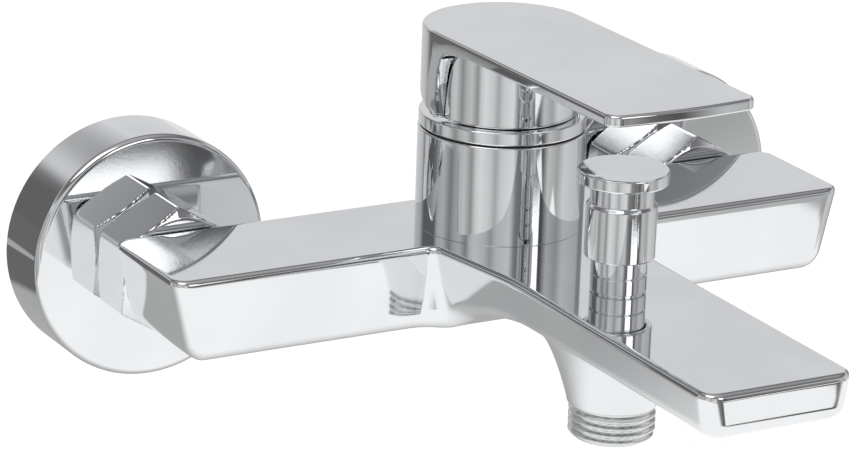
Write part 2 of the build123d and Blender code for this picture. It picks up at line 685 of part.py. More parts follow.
def lever_screw():
    """Grub screw that clamps the lever to the spindle."""
    start = TOWER_OUT - HUB_SIDE / 2
    end = TOWER_OUT - SPINDLE_SIDE / 2
    key = outward(SCREW_KEY_R, start - OVER, start + SCREW_KEY_DEPTH, 0, SCREW_HEIGHT)
    return outward(SCREW_R, start, end, 0, SCREW_HEIGHT) - key


def index_plug():
    """Plug in the lever's back that covers the grub screw."""
    back = TOWER_OUT - LEVER_R - OVER
    plug = outward(PLUG_R, back, TOWER_OUT - LEVER_NECK_R, 0, SCREW_HEIGHT)
    return plug & up(LEVER_R, SCREW_HEIGHT - 2 * PLUG_R, SCREW_HEIGHT + 2 * PLUG_R, 0, TOWER_OUT)


# --- diverter -------------------------------------------------------------------------------
def diverter_bonnet():
    """Polished guide screwed into the spout, which the knob slides over."""
    shape = up(CHAMBER_R - THREAD_FIT, BONNET_FOOT, BAR_ABOVE, 0, DIVERTER_OUT)
    shape += up(BONNET_R, BAR_ABOVE, BONNET_TOP, 0, DIVERTER_OUT)
    shape -= up(BONNET_BORE_R, BONNET_FLOOR, BONNET_TOP + OVER, 0, DIVERTER_OUT)
    return shape - up(ROD_R + FIT, BONNET_FOOT - OVER, BONNET_FLOOR + OVER, 0, DIVERTER_OUT)


def bonnet_filler(low, high):
    """Ring that fills the bonnet's bore around the rod."""
    return up_tube(BONNET_BORE_R - THREAD_FIT, ROD_R + FIT, low, high, 0, DIVERTER_OUT)


def rod_seals():
    """Two rubber rings above the bonnet's floor that seal the rod."""
    middle = BONNET_FLOOR + ROD_SEAL_LEN
    upper = middle + ROD_SEAL_GAP
    return Compound([bonnet_filler(BONNET_FLOOR, middle), bonnet_filler(upper, upper + ROD_SEAL_LEN)])


def seal_retainer():
    """Brass bush that holds the rod seals down."""
    return bonnet_filler(RETAINER_TOP - RETAINER_LEN, RETAINER_TOP)


def spring_collar():
    """Collar on the rod that lifts the return spring."""
    top = COLLAR_BOTTOM + COLLAR_LEN
    return up_tube(BONNET_BORE_R - PLAY, ROD_R, COLLAR_BOTTOM, top, 0, DIVERTER_OUT)


def bonnet_cap():
    """Ring in the bonnet's mouth that the return spring pushes against."""
    return bonnet_filler(BONNET_TOP - BONNET_CAP_LEN, BONNET_TOP)


def diverter_knob():
    """Pull knob: a flat disc, a short neck and a hollow barrel."""
    disc = up(KNOB_DISC_R, KNOB_TOP - KNOB_DISC_LEN, KNOB_TOP, 0, DIVERTER_OUT)
    disc = fillet(disc.edges(), KNOB_EDGE_R)
    neck = up(KNOB_NECK_R, KNOB_NECK_FOOT, KNOB_TOP - KNOB_DISC_LEN + OVER, 0, DIVERTER_OUT)
    barrel = up(KNOB_BARREL_R, KNOB_BOTTOM, KNOB_NECK_FOOT, 0, DIVERTER_OUT)
    shoulder = KNOB_BARREL_R - KNOB_NECK_R - THREAD_FIT
    barrel = chamfer(barrel.edges().group_by(Axis.Z)[-1], shoulder)
    roof = KNOB_NECK_FOOT - KNOB_ROOF
    bore = up(BONNET_R + KNOB_BORE_CLEAR, KNOB_BOTTOM - OVER, roof, 0, DIVERTER_OUT)
    rod_hole = up(ROD_R, roof - OVER, ROD_TOP, 0, DIVERTER_OUT)
    return disc + neck + barrel - bore - rod_hole


def diverter_rod():
    """Rod that joins knob and valve, with a thinner foot for the valve."""
    shape = up(ROD_R, VALVE_STACK_TOP, ROD_TOP, 0, DIVERTER_OUT)
    return shape + up(ROD_FOOT_R, -CHAMBER_FLOOR, VALVE_STACK_TOP, 0, DIVERTER_OUT)


def diverter_valve():
    """Brass disc on the rod's foot, between its two seals."""
    low = -CHAMBER_FLOOR + VALVE_SEAL_LEN
    return up_tube(VALVE_R, ROD_FOOT_R, low, low + VALVE_LEN, 0, DIVERTER_OUT)


def valve_seals():
    """Rubber faces below and above the valve disc."""
    outer = VALVE_R - VALVE_SEAL_INSET
    low = -CHAMBER_FLOOR
    high = VALVE_STACK_TOP
    lower = up_tube(outer, ROD_FOOT_R, low, low + VALVE_SEAL_LEN, 0, DIVERTER_OUT)
    upper = up_tube(outer, ROD_FOOT_R, high - VALVE_SEAL_LEN, high, 0, DIVERTER_OUT)
    return Compound([lower, upper])


def coil_stack(radius, wire, low, high, turns):
    """A coil spring on the diverter's axis as a stack of closed rings, evenly spaced."""
    pitch = (high - low - wire) / (turns - 1)
    rings = []
    for step in range(turns):
        height = low + wire / 2 + step * pitch
        rings.append(Pos(0, -DIVERTER_OUT, height) * Torus(radius, wire / 2))
    return Compound(rings)


def diverter_spring():
    """Return spring between the rod's collar and the bonnet's cap."""
    low = COLLAR_BOTTOM + COLLAR_LEN
    high = BONNET_TOP - BONNET_CAP_LEN
    radius = ROD_R + SPRING_ROD_GAP + SPRING_WIRE / 2
    return coil_stack(radius, SPRING_WIRE, low, high, SPRING_TURNS)


# --- outlets --------------------------------------------------------------------------------
def shower_nipple():
    """Threaded shower outlet, screwed up into the neck."""
    shape = up(WALL_THREAD_R, -OUTLET_END, -NECK_FOOT, 0, DIVERTER_OUT)
    spigot_top = -NECK_FOOT + NIPPLE_SPIGOT_LEN - PLAY
    shape += up(NIPPLE_SPIGOT_R - THREAD_FIT, -NECK_FOOT, spigot_top, 0, DIVERTER_OUT)
    return shape - up(NIPPLE_BORE_R, -OUTLET_END - OVER, 0, 0, DIVERTER_OUT)


def check_valve_housing():
    """Plastic cartridge of the check valve: seat above, spider below."""
    shape = up_tube(NIPPLE_BORE_R, CHECK_BORE_R, CHECK_FOOT, CHECK_TOP, 0, DIVERTER_OUT)
    seat_low = CHECK_TOP - CHECK_SEAT_LEN
    seat_r = POPPET_R - CHECK_SEAT_LAP
    shape += up_tube(NIPPLE_BORE_R, seat_r, seat_low, CHECK_TOP, 0, DIVERTER_OUT)
    back = DIVERTER_OUT - SPIDER_HALF
    front = DIVERTER_OUT + SPIDER_HALF
    middle_r = (NIPPLE_BORE_R + CHECK_BORE_R) / 2
    shape += block(-middle_r, middle_r, back, front, CHECK_FOOT, CHECK_FOOT + CHECK_SEAT_LEN)
    shape += up(POPPET_STEM_R + SPIDER_HALF, CHECK_FOOT, CHECK_FOOT + CHECK_SEAT_LEN, 0, DIVERTER_OUT)
    guide = up(POPPET_STEM_R + FIT, CHECK_FOOT - OVER, CHECK_FOOT + 2 * CHECK_SEAT_LEN, 0, DIVERTER_OUT)
    return shape - guide


def check_valve_poppet():
    """Poppet that closes the check valve upwards, with its guide stem."""
    head = CHECK_TOP - CHECK_SEAT_LEN
    shape = up(POPPET_R, head - POPPET_LEN, head, 0, DIVERTER_OUT)
    return shape + up(POPPET_STEM_R, CHECK_FOOT, head - POPPET_LEN, 0, DIVERTER_OUT)


def check_valve_spring():
    """Weak spring under the poppet."""
    low = CHECK_FOOT + CHECK_SEAT_LEN
    high = CHECK_TOP - CHECK_SEAT_LEN - POPPET_LEN
    return coil_stack(CHECK_SPRING_R, CHECK_SPRING_WIRE, low, high, CHECK_SPRING_TURNS)


def aerator_housing():
    """Ring that screws up into the spout's underside."""
    low = SPOUT_UNDER + AERATOR_SETBACK
    high = SPOUT_UNDER + AERATOR_DEPTH - AERATOR_WASHER_LEN
    return up_tube(AERATOR_R - THREAD_FIT, AERATOR_R - AERATOR_WALL, low, high, 0, AERATOR_OUT)


def aerator_insert():
    """Perforated plastic insert of the aerator."""
    radius = AERATOR_R - AERATOR_WALL - THREAD_FIT
    middle = SPOUT_UNDER + INSERT_SETBACK + INSERT_LEN / 2
    plate = perforated_plate(radius, INSERT_LEN, INSERT_HOLE_R, INSERT_PITCH)
    return Pos(0, -AERATOR_OUT, middle) * plate


def aerator_washer():
    """Rubber ring above the aerator."""
    high = SPOUT_UNDER + AERATOR_DEPTH
    inner = AERATOR_R - AERATOR_WASHER_WIDTH
    return up_tube(AERATOR_R - THREAD_FIT, inner, high - AERATOR_WASHER_LEN, high, 0, AERATOR_OUT)


def write(name, shape):
    """Write one node."""
    export_step(place(shape), f"parts/{name}.step")


def main():
    os.makedirs("parts", exist_ok=True)
    half = INLET_SPACING / 2
    for side, x in (("left", -half), ("right", half)):
        write(f"eccentric_union_{side}", eccentric_union(x))
        write(f"wall_rose_{side}", rose(x))
        write(f"union_nut_{side}", union_nut(x))
        write(f"filter_washer_{side}", filter_washer(x))
        write(f"filter_screen_{side}", filter_screen(x))
        write(f"inlet_stub_{side}", inlet_stub(x))
    pieces = {
        "body_casting": body_casting,
        "tower_sleeve": tower_sleeve,
        "cartridge_base": cartridge_base,
        "base_seals": base_seals,
        "fixed_disc": fixed_disc,
        "moving_disc": moving_disc,
        "disc_carrier": disc_carrier,
        "cartridge_housing": cartridge_housing,
        "swivel_guide": swivel_guide,
        "spindle": spindle,
        "cartridge_nut": cartridge_nut,
        "ring_gasket": ring_gasket,
        "trim_ring": trim_ring,
        "lever_handle": lever_handle,
        "lever_screw": lever_screw,
        "index_plug": index_plug,
        "diverter_bonnet": diverter_bonnet,
        "rod_seals": rod_seals,
        "seal_retainer": seal_retainer,
        "spring_collar": spring_collar,
        "bonnet_cap": bonnet_cap,
        "diverter_knob": diverter_knob,
        "diverter_rod": diverter_rod,
        "diverter_valve": diverter_valve,
        "valve_seals": valve_seals,
        "diverter_spring": diverter_spring,
        "shower_nipple": shower_nipple,
        "check_valve_housing": check_valve_housing,
        "check_valve_poppet": check_valve_poppet,
        "check_valve_spring": check_valve_spring,
        "aerator_housing": aerator_housing,
        "aerator_insert": aerator_insert,
        "aerator_washer": aerator_washer,
    }
    for name, make in pieces.items():
        write(name, make())
    write("spindle_pin", pin_bar(PIN_LEN))


main()
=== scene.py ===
import json
import logging
import math
from dataclasses import dataclass, field
from enum import Enum
from typing import Callable

import bmesh
import bpy
import numpy as np
from mathutils import Matrix, Vector
from mathutils.geometry import delaunay_2d_cdt

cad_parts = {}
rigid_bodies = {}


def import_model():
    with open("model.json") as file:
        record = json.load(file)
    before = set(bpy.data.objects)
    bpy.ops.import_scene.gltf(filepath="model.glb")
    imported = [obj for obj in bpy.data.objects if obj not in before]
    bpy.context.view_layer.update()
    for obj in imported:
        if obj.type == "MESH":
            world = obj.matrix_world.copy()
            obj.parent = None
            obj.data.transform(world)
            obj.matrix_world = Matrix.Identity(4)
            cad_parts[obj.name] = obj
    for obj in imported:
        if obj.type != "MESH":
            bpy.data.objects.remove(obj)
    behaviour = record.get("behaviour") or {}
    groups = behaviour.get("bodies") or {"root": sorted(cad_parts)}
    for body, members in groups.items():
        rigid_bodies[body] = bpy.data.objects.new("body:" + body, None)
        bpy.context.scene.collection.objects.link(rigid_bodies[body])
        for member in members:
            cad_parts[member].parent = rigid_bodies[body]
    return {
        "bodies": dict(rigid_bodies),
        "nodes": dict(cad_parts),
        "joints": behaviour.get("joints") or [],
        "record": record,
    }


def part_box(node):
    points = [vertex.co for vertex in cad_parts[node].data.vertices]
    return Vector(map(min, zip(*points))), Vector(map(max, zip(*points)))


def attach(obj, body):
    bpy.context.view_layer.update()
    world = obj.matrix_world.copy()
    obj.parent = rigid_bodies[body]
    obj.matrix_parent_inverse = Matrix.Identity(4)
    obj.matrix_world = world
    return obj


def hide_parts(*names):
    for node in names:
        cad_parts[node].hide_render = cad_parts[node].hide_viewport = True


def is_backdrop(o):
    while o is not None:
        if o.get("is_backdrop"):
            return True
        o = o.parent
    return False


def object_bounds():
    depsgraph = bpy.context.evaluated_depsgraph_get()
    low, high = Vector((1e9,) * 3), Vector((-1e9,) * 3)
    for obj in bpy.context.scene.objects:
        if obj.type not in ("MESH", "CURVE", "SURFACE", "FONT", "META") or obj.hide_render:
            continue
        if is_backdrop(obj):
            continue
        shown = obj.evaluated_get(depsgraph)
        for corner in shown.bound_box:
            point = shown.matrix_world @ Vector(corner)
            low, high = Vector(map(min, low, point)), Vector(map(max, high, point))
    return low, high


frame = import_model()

log = logging.getLogger("bath_mixer")
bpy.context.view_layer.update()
MM = 0.001
MERGE_GAP = 2e-6
THIN_EDGE = 1e-7
Array = np.ndarray


# --- shader wrapper --------------------------------------------------------------------------
class Val:
    """A number that flows through a shader, with Python's own operators."""

    def __init__(self, shop: "Workbench", socket: bpy.types.NodeSocket) -> None:
        """Wrap one output socket.

        Args:
            shop: the workbench whose node tree holds the socket.
            socket: the output socket.
        """
        self.shop = shop
        self.socket = socket

    def _math(self, operation: str, first: object, second: object = None) -> "Val":
        """One Math node.

        Args:
            operation: the node's operation.
            first: left operand.
            second: right operand, if the operation has one.

        Returns:
            The result as another Val.
        """
        inputs = {0: first} if second is None else {0: first, 1: second}
        return self.shop.add("ShaderNodeMath", {"operation": operation}, inputs).value()

    def __add__(self, other: object) -> "Val":
        """Sum."""
        return self._math("ADD", self, other)

    def __radd__(self, other: object) -> "Val":
        """Reflected sum."""
        return self._math("ADD", other, self)

    def __sub__(self, other: object) -> "Val":
        """Difference."""
        return self._math("SUBTRACT", self, other)

    def __rsub__(self, other: object) -> "Val":
        """Reflected difference."""
        return self._math("SUBTRACT", other, self)

    def __mul__(self, other: object) -> "Val":
        """Product."""
        return self._math("MULTIPLY", self, other)

    def __rmul__(self, other: object) -> "Val":
        """Reflected product."""
        return self._math("MULTIPLY", other, self)

    def bearing(self, ahead: "Val") -> "Val":
        """Angle whose tangent is this value over another, in radians."""
        return self._math("ARCTAN2", self, ahead)

    def between(self, low: float, high: float) -> "Val":
        """Smooth step from 0 at low to 1 at high.

        Args:
            low: value that gives 0.
            high: value that gives 1.

        Returns:
            The step as a Val.
        """
        settings = {"interpolation_type": "SMOOTHSTEP"}
        inputs = {"Value": self, "From Min": low, "From Max": high}
        return self.shop.add("ShaderNodeMapRange", settings, inputs).value("Result")


class Made:
    """A node that has been added, with a short way to its outputs."""

    def __init__(self, shop: "Workbench", node: bpy.types.Node) -> None:
        """Hold the node and its workbench."""
        self.shop = shop
        self.node = node

    def value(self, output: object = 0) -> Val:
        """One output as a Val.

        Args:
            output: name or index of the output.

        Returns:
            The wrapped socket.
        """
        return Val(self.shop, self.node.outputs[output])


class Workbench:
    """A node tree with one way to add a node."""

    def __init__(self, tree: bpy.types.NodeTree) -> None:
        """Empty the tree and keep it."""
        self.tree = tree
        tree.nodes.clear()

    def add(self, kind: str, settings: dict[str, object], inputs: dict[object, object]) -> Made:
        """Add a node.

        Args:
            kind: the node's type name.
            settings: attributes that are set first; "stops" sets a ramp's stops.
            inputs: socket name or index to a number, colour, Val or socket.

        Returns:
            The node.
        """
        node = self.tree.nodes.new(kind)
        for name, setting in settings.items():
            if name == "stops":
                self._stops(node, setting)
            else:
                setattr(node, name, setting)
        for key, given in inputs.items():
            source = given.socket if isinstance(given, Val) else given
            if isinstance(source, bpy.types.NodeSocket):
                self.tree.links.new(source, node.inputs[key])
            else:
                node.inputs[key].default_value = source
        return Made(self, node)

    def _stops(self, node: bpy.types.Node, stops: list[tuple[float, float]]) -> None:
        """Set a ramp's grey stops.

        Args:
            node: the ramp.
            stops: place and grey level of each stop, in order.
        """
        marks = node.color_ramp.elements
        for mark, (place, level) in zip((marks[0], marks[1]), (stops[0], stops[-1])):
            mark.position = place
            mark.color = (level, level, level, 1.0)
        for place, level in stops[1:-1]:
            marks.new(place).color = (level, level, level, 1.0)

    def place(self) -> bpy.types.NodeSocket:
        """Object coordinates."""
        return self.add("ShaderNodeTexCoord", {}, {}).node.outputs["Object"]

    def noise(self, vector: bpy.types.NodeSocket, scale: float, detail: float = 2.0) -> Val:
        """Noise at a place.

        Args:
            vector: coordinates.
            scale: features per metre.
            detail: octaves.

        Returns:
            The noise, about 0 to 1.
        """
        inputs = {"Vector": vector, "Scale": scale, "Detail": detail}
        return self.add("ShaderNodeTexNoise", {}, inputs).value(0)


# --- finishes --------------------------------------------------------------------------------
@dataclass(frozen=True)
class Finish:
    """A finish that is the same all over but for its fine texture."""

    name: str
    base: tuple[float, float, float]
    second: tuple[float, float, float]
    metallic: float
    roughness: float
    spread: float
    grain: float
    bump: float
    stretch: tuple[float, float, float] = (1.0, 1.0, 1.0)
    broad: float = 40.0

    def material(self) -> bpy.types.Material:
        """Build the material, or return it if it is there.

        Returns:
            The material.
        """
        made = bpy.data.materials.get(self.name)
        if made is not None:
            return made
        made = bpy.data.materials.new(self.name)
        made.use_nodes = True
        shop = Workbench(made.node_tree)
        place = shop.place()
        mapped = shop.add("ShaderNodeMapping", {}, {"Vector": place, "Scale": self.stretch})
        fine = shop.noise(mapped.node.outputs[0], self.grain, 3.0)
        broad = shop.noise(place, self.broad, 2.0)
        tint = shop.add(
            "ShaderNodeMix",
            {"data_type": "RGBA"},
            {0: broad.between(0.35, 0.7), 6: (*self.base, 1.0), 7: (*self.second, 1.0)},
        )
        height = fine + broad * 0.35
        bump = shop.add("ShaderNodeBump", {}, {"Strength": 1.0, "Distance": self.bump, "Height": height})
        rough = self.roughness + (fine * 0.6 + broad * 0.4 - 0.5) * self.spread
        surface = shop.add(
            "ShaderNodeBsdfPrincipled",
            {},
            {
                "Base Color": tint.node.outputs[2],
                "Metallic": self.metallic,
                "Roughness": rough,
                "Normal": bump.node.outputs[0],
            },
        )
        shop.add("ShaderNodeOutputMaterial", {}, {"Surface": surface.node.outputs[0]})
        return made


class Looks(Enum):
    """The finishes of the mixer's pieces.

    After the two colours come metallic, roughness, its spread, grain per metre and bump height.
    """

    CHROME = Finish("polished_chrome", (0.80, 0.81, 0.82), (0.76, 0.77, 0.785),
        1.0, 0.045, 0.03, 1500.0, 0.0000008)
    CHROME_THREAD = Finish("plated_thread", (0.76, 0.77, 0.77), (0.68, 0.69, 0.69),
        1.0, 0.16, 0.08, 1800.0, 0.000006)
    BRASS = Finish("machined_brass", (0.78, 0.60, 0.30), (0.70, 0.51, 0.24),
        1.0, 0.24, 0.14, 900.0, 0.000008, (1.0, 1.0, 8.0))
    STEEL = Finish("drawn_steel", (0.62, 0.62, 0.63), (0.55, 0.55, 0.56),
        1.0, 0.28, 0.12, 2000.0, 0.000004)
    CASTING = Finish("plated_recess", (0.42, 0.42, 0.43), (0.33, 0.33, 0.34),
        1.0, 0.38, 0.2, 1100.0, 0.00003)
    WHITE_PLASTIC = Finish("natural_acetal", (0.78, 0.78, 0.75), (0.72, 0.72, 0.69),
        0.0, 0.42, 0.12, 1600.0, 0.000008)
    GREY_PLASTIC = Finish("grey_acetal", (0.22, 0.23, 0.24), (0.18, 0.185, 0.19),
        0.0, 0.46, 0.12, 1600.0, 0.00001)
    CERAMIC = Finish("lapped_ceramic", (0.86, 0.85, 0.80), (0.82, 0.81, 0.76),
        0.0, 0.16, 0.06, 1200.0, 0.000002)
    RUBBER = Finish("seal_rubber", (0.018, 0.018, 0.019), (0.026, 0.026, 0.027),
        0.0, 0.6, 0.15, 1300.0, 0.00001)
    INDEX = Finish("index_cap", (0.10, 0.10, 0.11), (0.08, 0.08, 0.09),
        0.0, 0.3, 0.08, 1500.0, 0.000005)


SLOT_LOOKS = {
    "chrome": Looks.CHROME,
    "brass": Looks.BRASS,
    "chromed_cast_brass": Looks.CHROME,
    "steel": Looks.STEEL,
    "cartridge_plastic": Looks.WHITE_PLASTIC,
    "grey_plastic": Looks.GREY_PLASTIC,
    "ceramic": Looks.CERAMIC,
    "rubber": Looks.RUBBER,
    "index_plastic": Looks.INDEX,
}


# --- mesh tools ------------------------------------------------------------------------------
def arc_steps(count: int) -> Array:
    """Even steps from 0 to 1.

    Args:
        count: number of values.

    Returns:
        The values.
    """
    return np.linspace(0.0, 1.0, count)


def soft_plus(value: Array, width: float) -> Array:
    """Zero below 0 and the value above it, with a rounded knee.

    Formula: half of the value plus half of the root of its square and the width's square.

    Args:
        value: where to take it.
        width: size of the knee.

    Returns:
        The softened ramp.
    """
    return 0.5 * (value + np.sqrt(value * value + width * width))


def smooth_table(where: Array, places: Array, values: Array) -> Array:
    """Read a table on a smooth curve.

    Formula: on each span the cubic whose end slopes are the central differences of the table.

    Args:
        where: places to read.
        places: the table's places.
        values: the table's values.

    Returns:
        The values read.
    """
    slopes = np.gradient(values, places)
    index = np.clip(np.searchsorted(places, where, side="right") - 1, 0, len(places) - 2)
    span = places[index + 1] - places[index]
    t = (where - places[index]) / span
    first = (2 * t**3 - 3 * t**2 + 1) * values[index] + (t**3 - 2 * t**2 + t) * span * slopes[index]
    second = (3 * t**2 - 2 * t**3) * values[index + 1] + (t**3 - t**2) * span * slopes[index + 1]
    return first + second


def rounded(corners: list[tuple[float, float, float]], closed: bool = True, steps: int = 7) -> Array:
    """A polygon with each corner replaced by an arc that touches both its sides.

    Formula: the arc's ends lie at radius / tan(half the corner's angle) from the corner, and
    between them each point turns evenly from one end to the other about the arc's centre.

    Args:
        corners: first coordinate, second coordinate and radius of each corner.
        closed: whether the last corner joins the first.
        steps: points on each arc.

    Returns:
        The outline, one row a point.
    """
    places = np.array([corner[:2] for corner in corners], dtype=float)
    rows = []
    for index, corner in enumerate(corners):
        here = places[index]
        if corner[2] <= 0 or (not closed and index in (0, len(corners) - 1)):
            rows.append(here[None])
            continue
        back = places[index - 1] - here
        ahead = places[(index + 1) % len(corners)] - here
        back /= np.linalg.norm(back)
        ahead /= np.linalg.norm(ahead)
        half = math.acos(float(np.clip(back @ ahead, -1, 1))) / 2
        reach = corner[2] / math.tan(half)
        middle = here + (back + ahead) / np.linalg.norm(back + ahead) * corner[2] / math.sin(half)
        first = here + back * reach - middle
        last = here + ahead * reach - middle
        sweep = math.pi - 2 * half
        share = arc_steps(steps)[:, None]
        arc = np.sin((1 - share) * sweep) * first + np.sin(share * sweep) * last
        rows.append(middle + arc / math.sin(sweep))
    return np.concatenate(rows)


@dataclass
class Sheet:
    """A grid of points, one row a line of the surface, in metres."""

    points: Array
    wrap_rows: bool = False
    wrap_columns: bool = False

    def quads(self, first: int) -> Array:
        """Corner numbers of the grid's faces.

        Args:
            first: number of the grid's first point.

        Returns:
            One row a face.
        """
        rows, columns = self.points.shape[:2]
        row = np.arange(rows if self.wrap_rows else rows - 1)[:, None]
        column = np.arange(columns if self.wrap_columns else columns - 1)[None]
        next_row = (row + 1) % rows
        next_column = (column + 1) % columns
        corners = [row * columns + column, row * columns + next_column,
                   next_row * columns + next_column, next_row * columns + column]
        return first + np.stack(np.broadcast_arrays(*corners), axis=-1).reshape(-1, 4)


@dataclass
class Fill:
    """Loose faces on points of their own, such as the fill of an outline."""

    points: Array
    faces: list[list[int]]


def fill_outline(outline: Array, height: Callable[[Array], Array], holes: list[Array], pitch: float) -> Fill:
    """Triangles inside an outline, lifted to a height field.

    Formula: the plan is triangulated with the outline and holes as its edges and a square
    lattice inside, and each new point takes the height field's value; edge points keep theirs.

    Args:
        outline: closed outline, three coordinates a row.
        height: gives heights for plan points.
        holes: closed outlines to leave open.
        pitch: lattice spacing.

    Returns:
        The filled surface.
    """
    loops = [outline] + holes
    plan = np.concatenate([loop[:, :2] for loop in loops])
    heights = np.concatenate([loop[:, 2] for loop in loops])
    edges = []
    start = 0
    for loop in loops:
        ring = np.arange(len(loop))
        edges += np.stack([start + ring, start + (ring + 1) % len(loop)], axis=1).tolist()
        start += len(loop)
    low, high = outline[:, :2].min(axis=0), outline[:, :2].max(axis=0)
    lattice = np.stack(np.meshgrid(np.arange(low[0] + pitch, high[0], pitch),
                                   np.arange(low[1] + pitch, high[1], pitch)), axis=-1).reshape(-1, 2)
    keep = inside(lattice, outline[:, :2])
    for hole in holes:
        keep &= ~inside(lattice, hole[:, :2])
    lattice = lattice[keep]
    gap = np.sqrt(((lattice[:, None] - plan[None]) ** 2).sum(axis=2)).min(axis=1)
    lattice = lattice[gap > pitch * 0.45]
    spots = np.concatenate([plan, lattice])
    made = delaunay_2d_cdt([Vector(p) for p in spots.tolist()], edges, [], 1, 1e-9)
    flat = np.array([tuple(v) for v in made[0]])
    tall = height(flat)
    source = [origin[0] if origin else -1 for origin in made[3]]
    known = np.array([number if 0 <= number < len(plan) else -1 for number in source])
    tall = np.where(known >= 0, heights[np.maximum(known, 0)], tall)
    faces = list(made[2])
    middles = np.array([flat[face].mean(axis=0) for face in faces])
    open_face = np.zeros(len(faces), dtype=bool)
    for hole in holes:
        open_face |= inside(middles, hole[:, :2])
    faces = [face for face, skip in zip(faces, open_face) if not skip]
    return Fill(np.column_stack([flat, tall]), faces)


def inside(points: Array, outline: Array) -> Array:
    """Which points lie inside a closed outline.

    Formula: a point is inside if a ray towards +X crosses the outline an odd number of times.

    Args:
        points: plan points.
        outline: plan outline.

    Returns:
        True for each point inside.
    """
    start, end = outline, np.roll(outline, -1, axis=0)
    x, y = points[:, None, 0], points[:, None, 1]
    spans = (start[None, :, 1] > y) != (end[None, :, 1] > y)
    rise = np.where(end[:, 1] == start[:, 1], 1e-12, end[:, 1] - start[:, 1])
    cross = start[None, :, 0] + (y - start[None, :, 1]) * ((end - start)[None, :, 0] / rise[None])
    return (np.sum(spans & (x < cross), axis=1) % 2) == 1


def make_piece(name: str, shells: list[object], look: Looks, sharp: float = 32.0) -> bpy.types.Object:
    """Join grids and fills into one object, merge their seams and turn every face outwards.

    Args:
        name: the piece's name.
        shells: its Sheets and Fills.
        look: its finish.
        sharp: edges that bend by more than this many degrees stay crisp.

    Returns:
        The object, at the origin.
    """
    points, faces, start = [], [], 0
    for shell in shells:
        flat = shell.points.reshape(-1, 3)
        points.append(flat)
        if isinstance(shell, Sheet):
            faces += shell.quads(start).tolist()
        else:
            faces += [[start + corner for corner in face] for face in shell.faces]
        start += len(flat)
    mesh = bpy.data.meshes.new(name)
    mesh.from_pydata(np.concatenate(points), [], faces)
    work = bmesh.new()
    work.from_mesh(mesh)
    bmesh.ops.remove_doubles(work, verts=work.verts, dist=MERGE_GAP)
    bmesh.ops.dissolve_degenerate(work, edges=work.edges, dist=THIN_EDGE)
    bmesh.ops.recalc_face_normals(work, faces=work.faces)
    work.to_mesh(mesh)
    work.free()
    mesh.shade_smooth()
    mesh.set_sharp_from_angle(angle=math.radians(sharp))
    mesh.materials.append(look.value.material())
    piece = bpy.data.objects.new(name, mesh)
    bpy.context.scene.collection.objects.link(piece)
    weigh = piece.modifiers.new("even_shading", "WEIGHTED_NORMAL")
    weigh.keep_sharp = True
    weigh.weight = 60
    log.info("%s: %d faces", name, len(mesh.polygons))
    return piece


def turned(profile: Array, centre: Vector, count: int = 160, outward: bool = False) -> Sheet:
    """A closed profile turned round an axis.

    Formula: x is radius times sine, y is radius times cosine, z is the profile's height; for a
    piece square to the wall the height runs along -Y and the circle lies in X and Z.

    Args:
        profile: radius and height of each point, millimetres.
        centre: the axis' origin, metres.
        count: steps round the axis.
        outward: axis along -Y instead of +Z.

    Returns:
        The surface.
    """
    turn = np.arange(count) * 2 * math.pi / count
    radius, height = profile[:, 0, None] * MM, profile[:, 1, None] * MM
    first, second = radius * np.sin(turn), radius * np.cos(turn)
    level = np.broadcast_to(height, first.shape)
    parts = (first, -level, second) if outward else (first, second, level)
    return Sheet(np.stack(parts, axis=-1) + np.array(centre), wrap_rows=True, wrap_columns=True)


def field_turned(radius: Array, level: Array, turn: Array, centre: Vector, outward: bool = False) -> Sheet:
    """A closed grid whose radius and height change round the axis as well.

    Formula: as for turned, with radius and level given at each step and each turn.

    Args:
        radius: grid of radii, millimetres.
        level: grid of heights, millimetres.
        turn: angles, radians.
        centre: the axis' origin, metres.
        outward: axis along -Y instead of +Z.

    Returns:
        The surface.
    """
    first, second = radius * MM * np.sin(turn), radius * MM * np.cos(turn)
    parts = (first, -level * MM, second) if outward else (first, second, level * MM)
    return Sheet(np.stack(parts, axis=-1) + np.array(centre), wrap_rows=True, wrap_columns=True)


def finish_piece(piece: bpy.types.Object, body: str, slot: str, *nodes: str) -> None:
    """Hang a piece on its body and hide the nodes it stands for.

    Args:
        piece: the piece.
        body: the body it rides on.
        slot: the record's material slot; not used.
        nodes: the nodes it replaces.
    """
    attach(piece, body)
    if nodes:
        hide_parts(*nodes)


# --- places ----------------------------------------------------------------------------------
@dataclass(frozen=True)
class Datum:
    """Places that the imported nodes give, metres."""

    inlet_height: float
    plate_top: float
    tower_out: float
    diverter_out: float
    bar_rear: float
    tip_out: float
    half_spacing: float

    @classmethod
    def read(cls) -> "Datum":
        """Take the places from the nodes' boxes."""
        nut_low, nut_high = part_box("union_nut_right")
        sleeve_low, sleeve_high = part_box("tower_sleeve")
        body_low, body_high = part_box("body_casting")
        knob_low, knob_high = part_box("diverter_knob")
        return cls(
            inlet_height=(nut_low[2] + nut_high[2]) / 2,
            plate_top=sleeve_low[2],
            tower_out=-(sleeve_low[1] + sleeve_high[1]) / 2,
            diverter_out=-(knob_low[1] + knob_high[1]) / 2,
            bar_rear=-body_high[1],
            tip_out=-body_low[1],
            half_spacing=(nut_low[0] + nut_high[0]) / 2,
        )


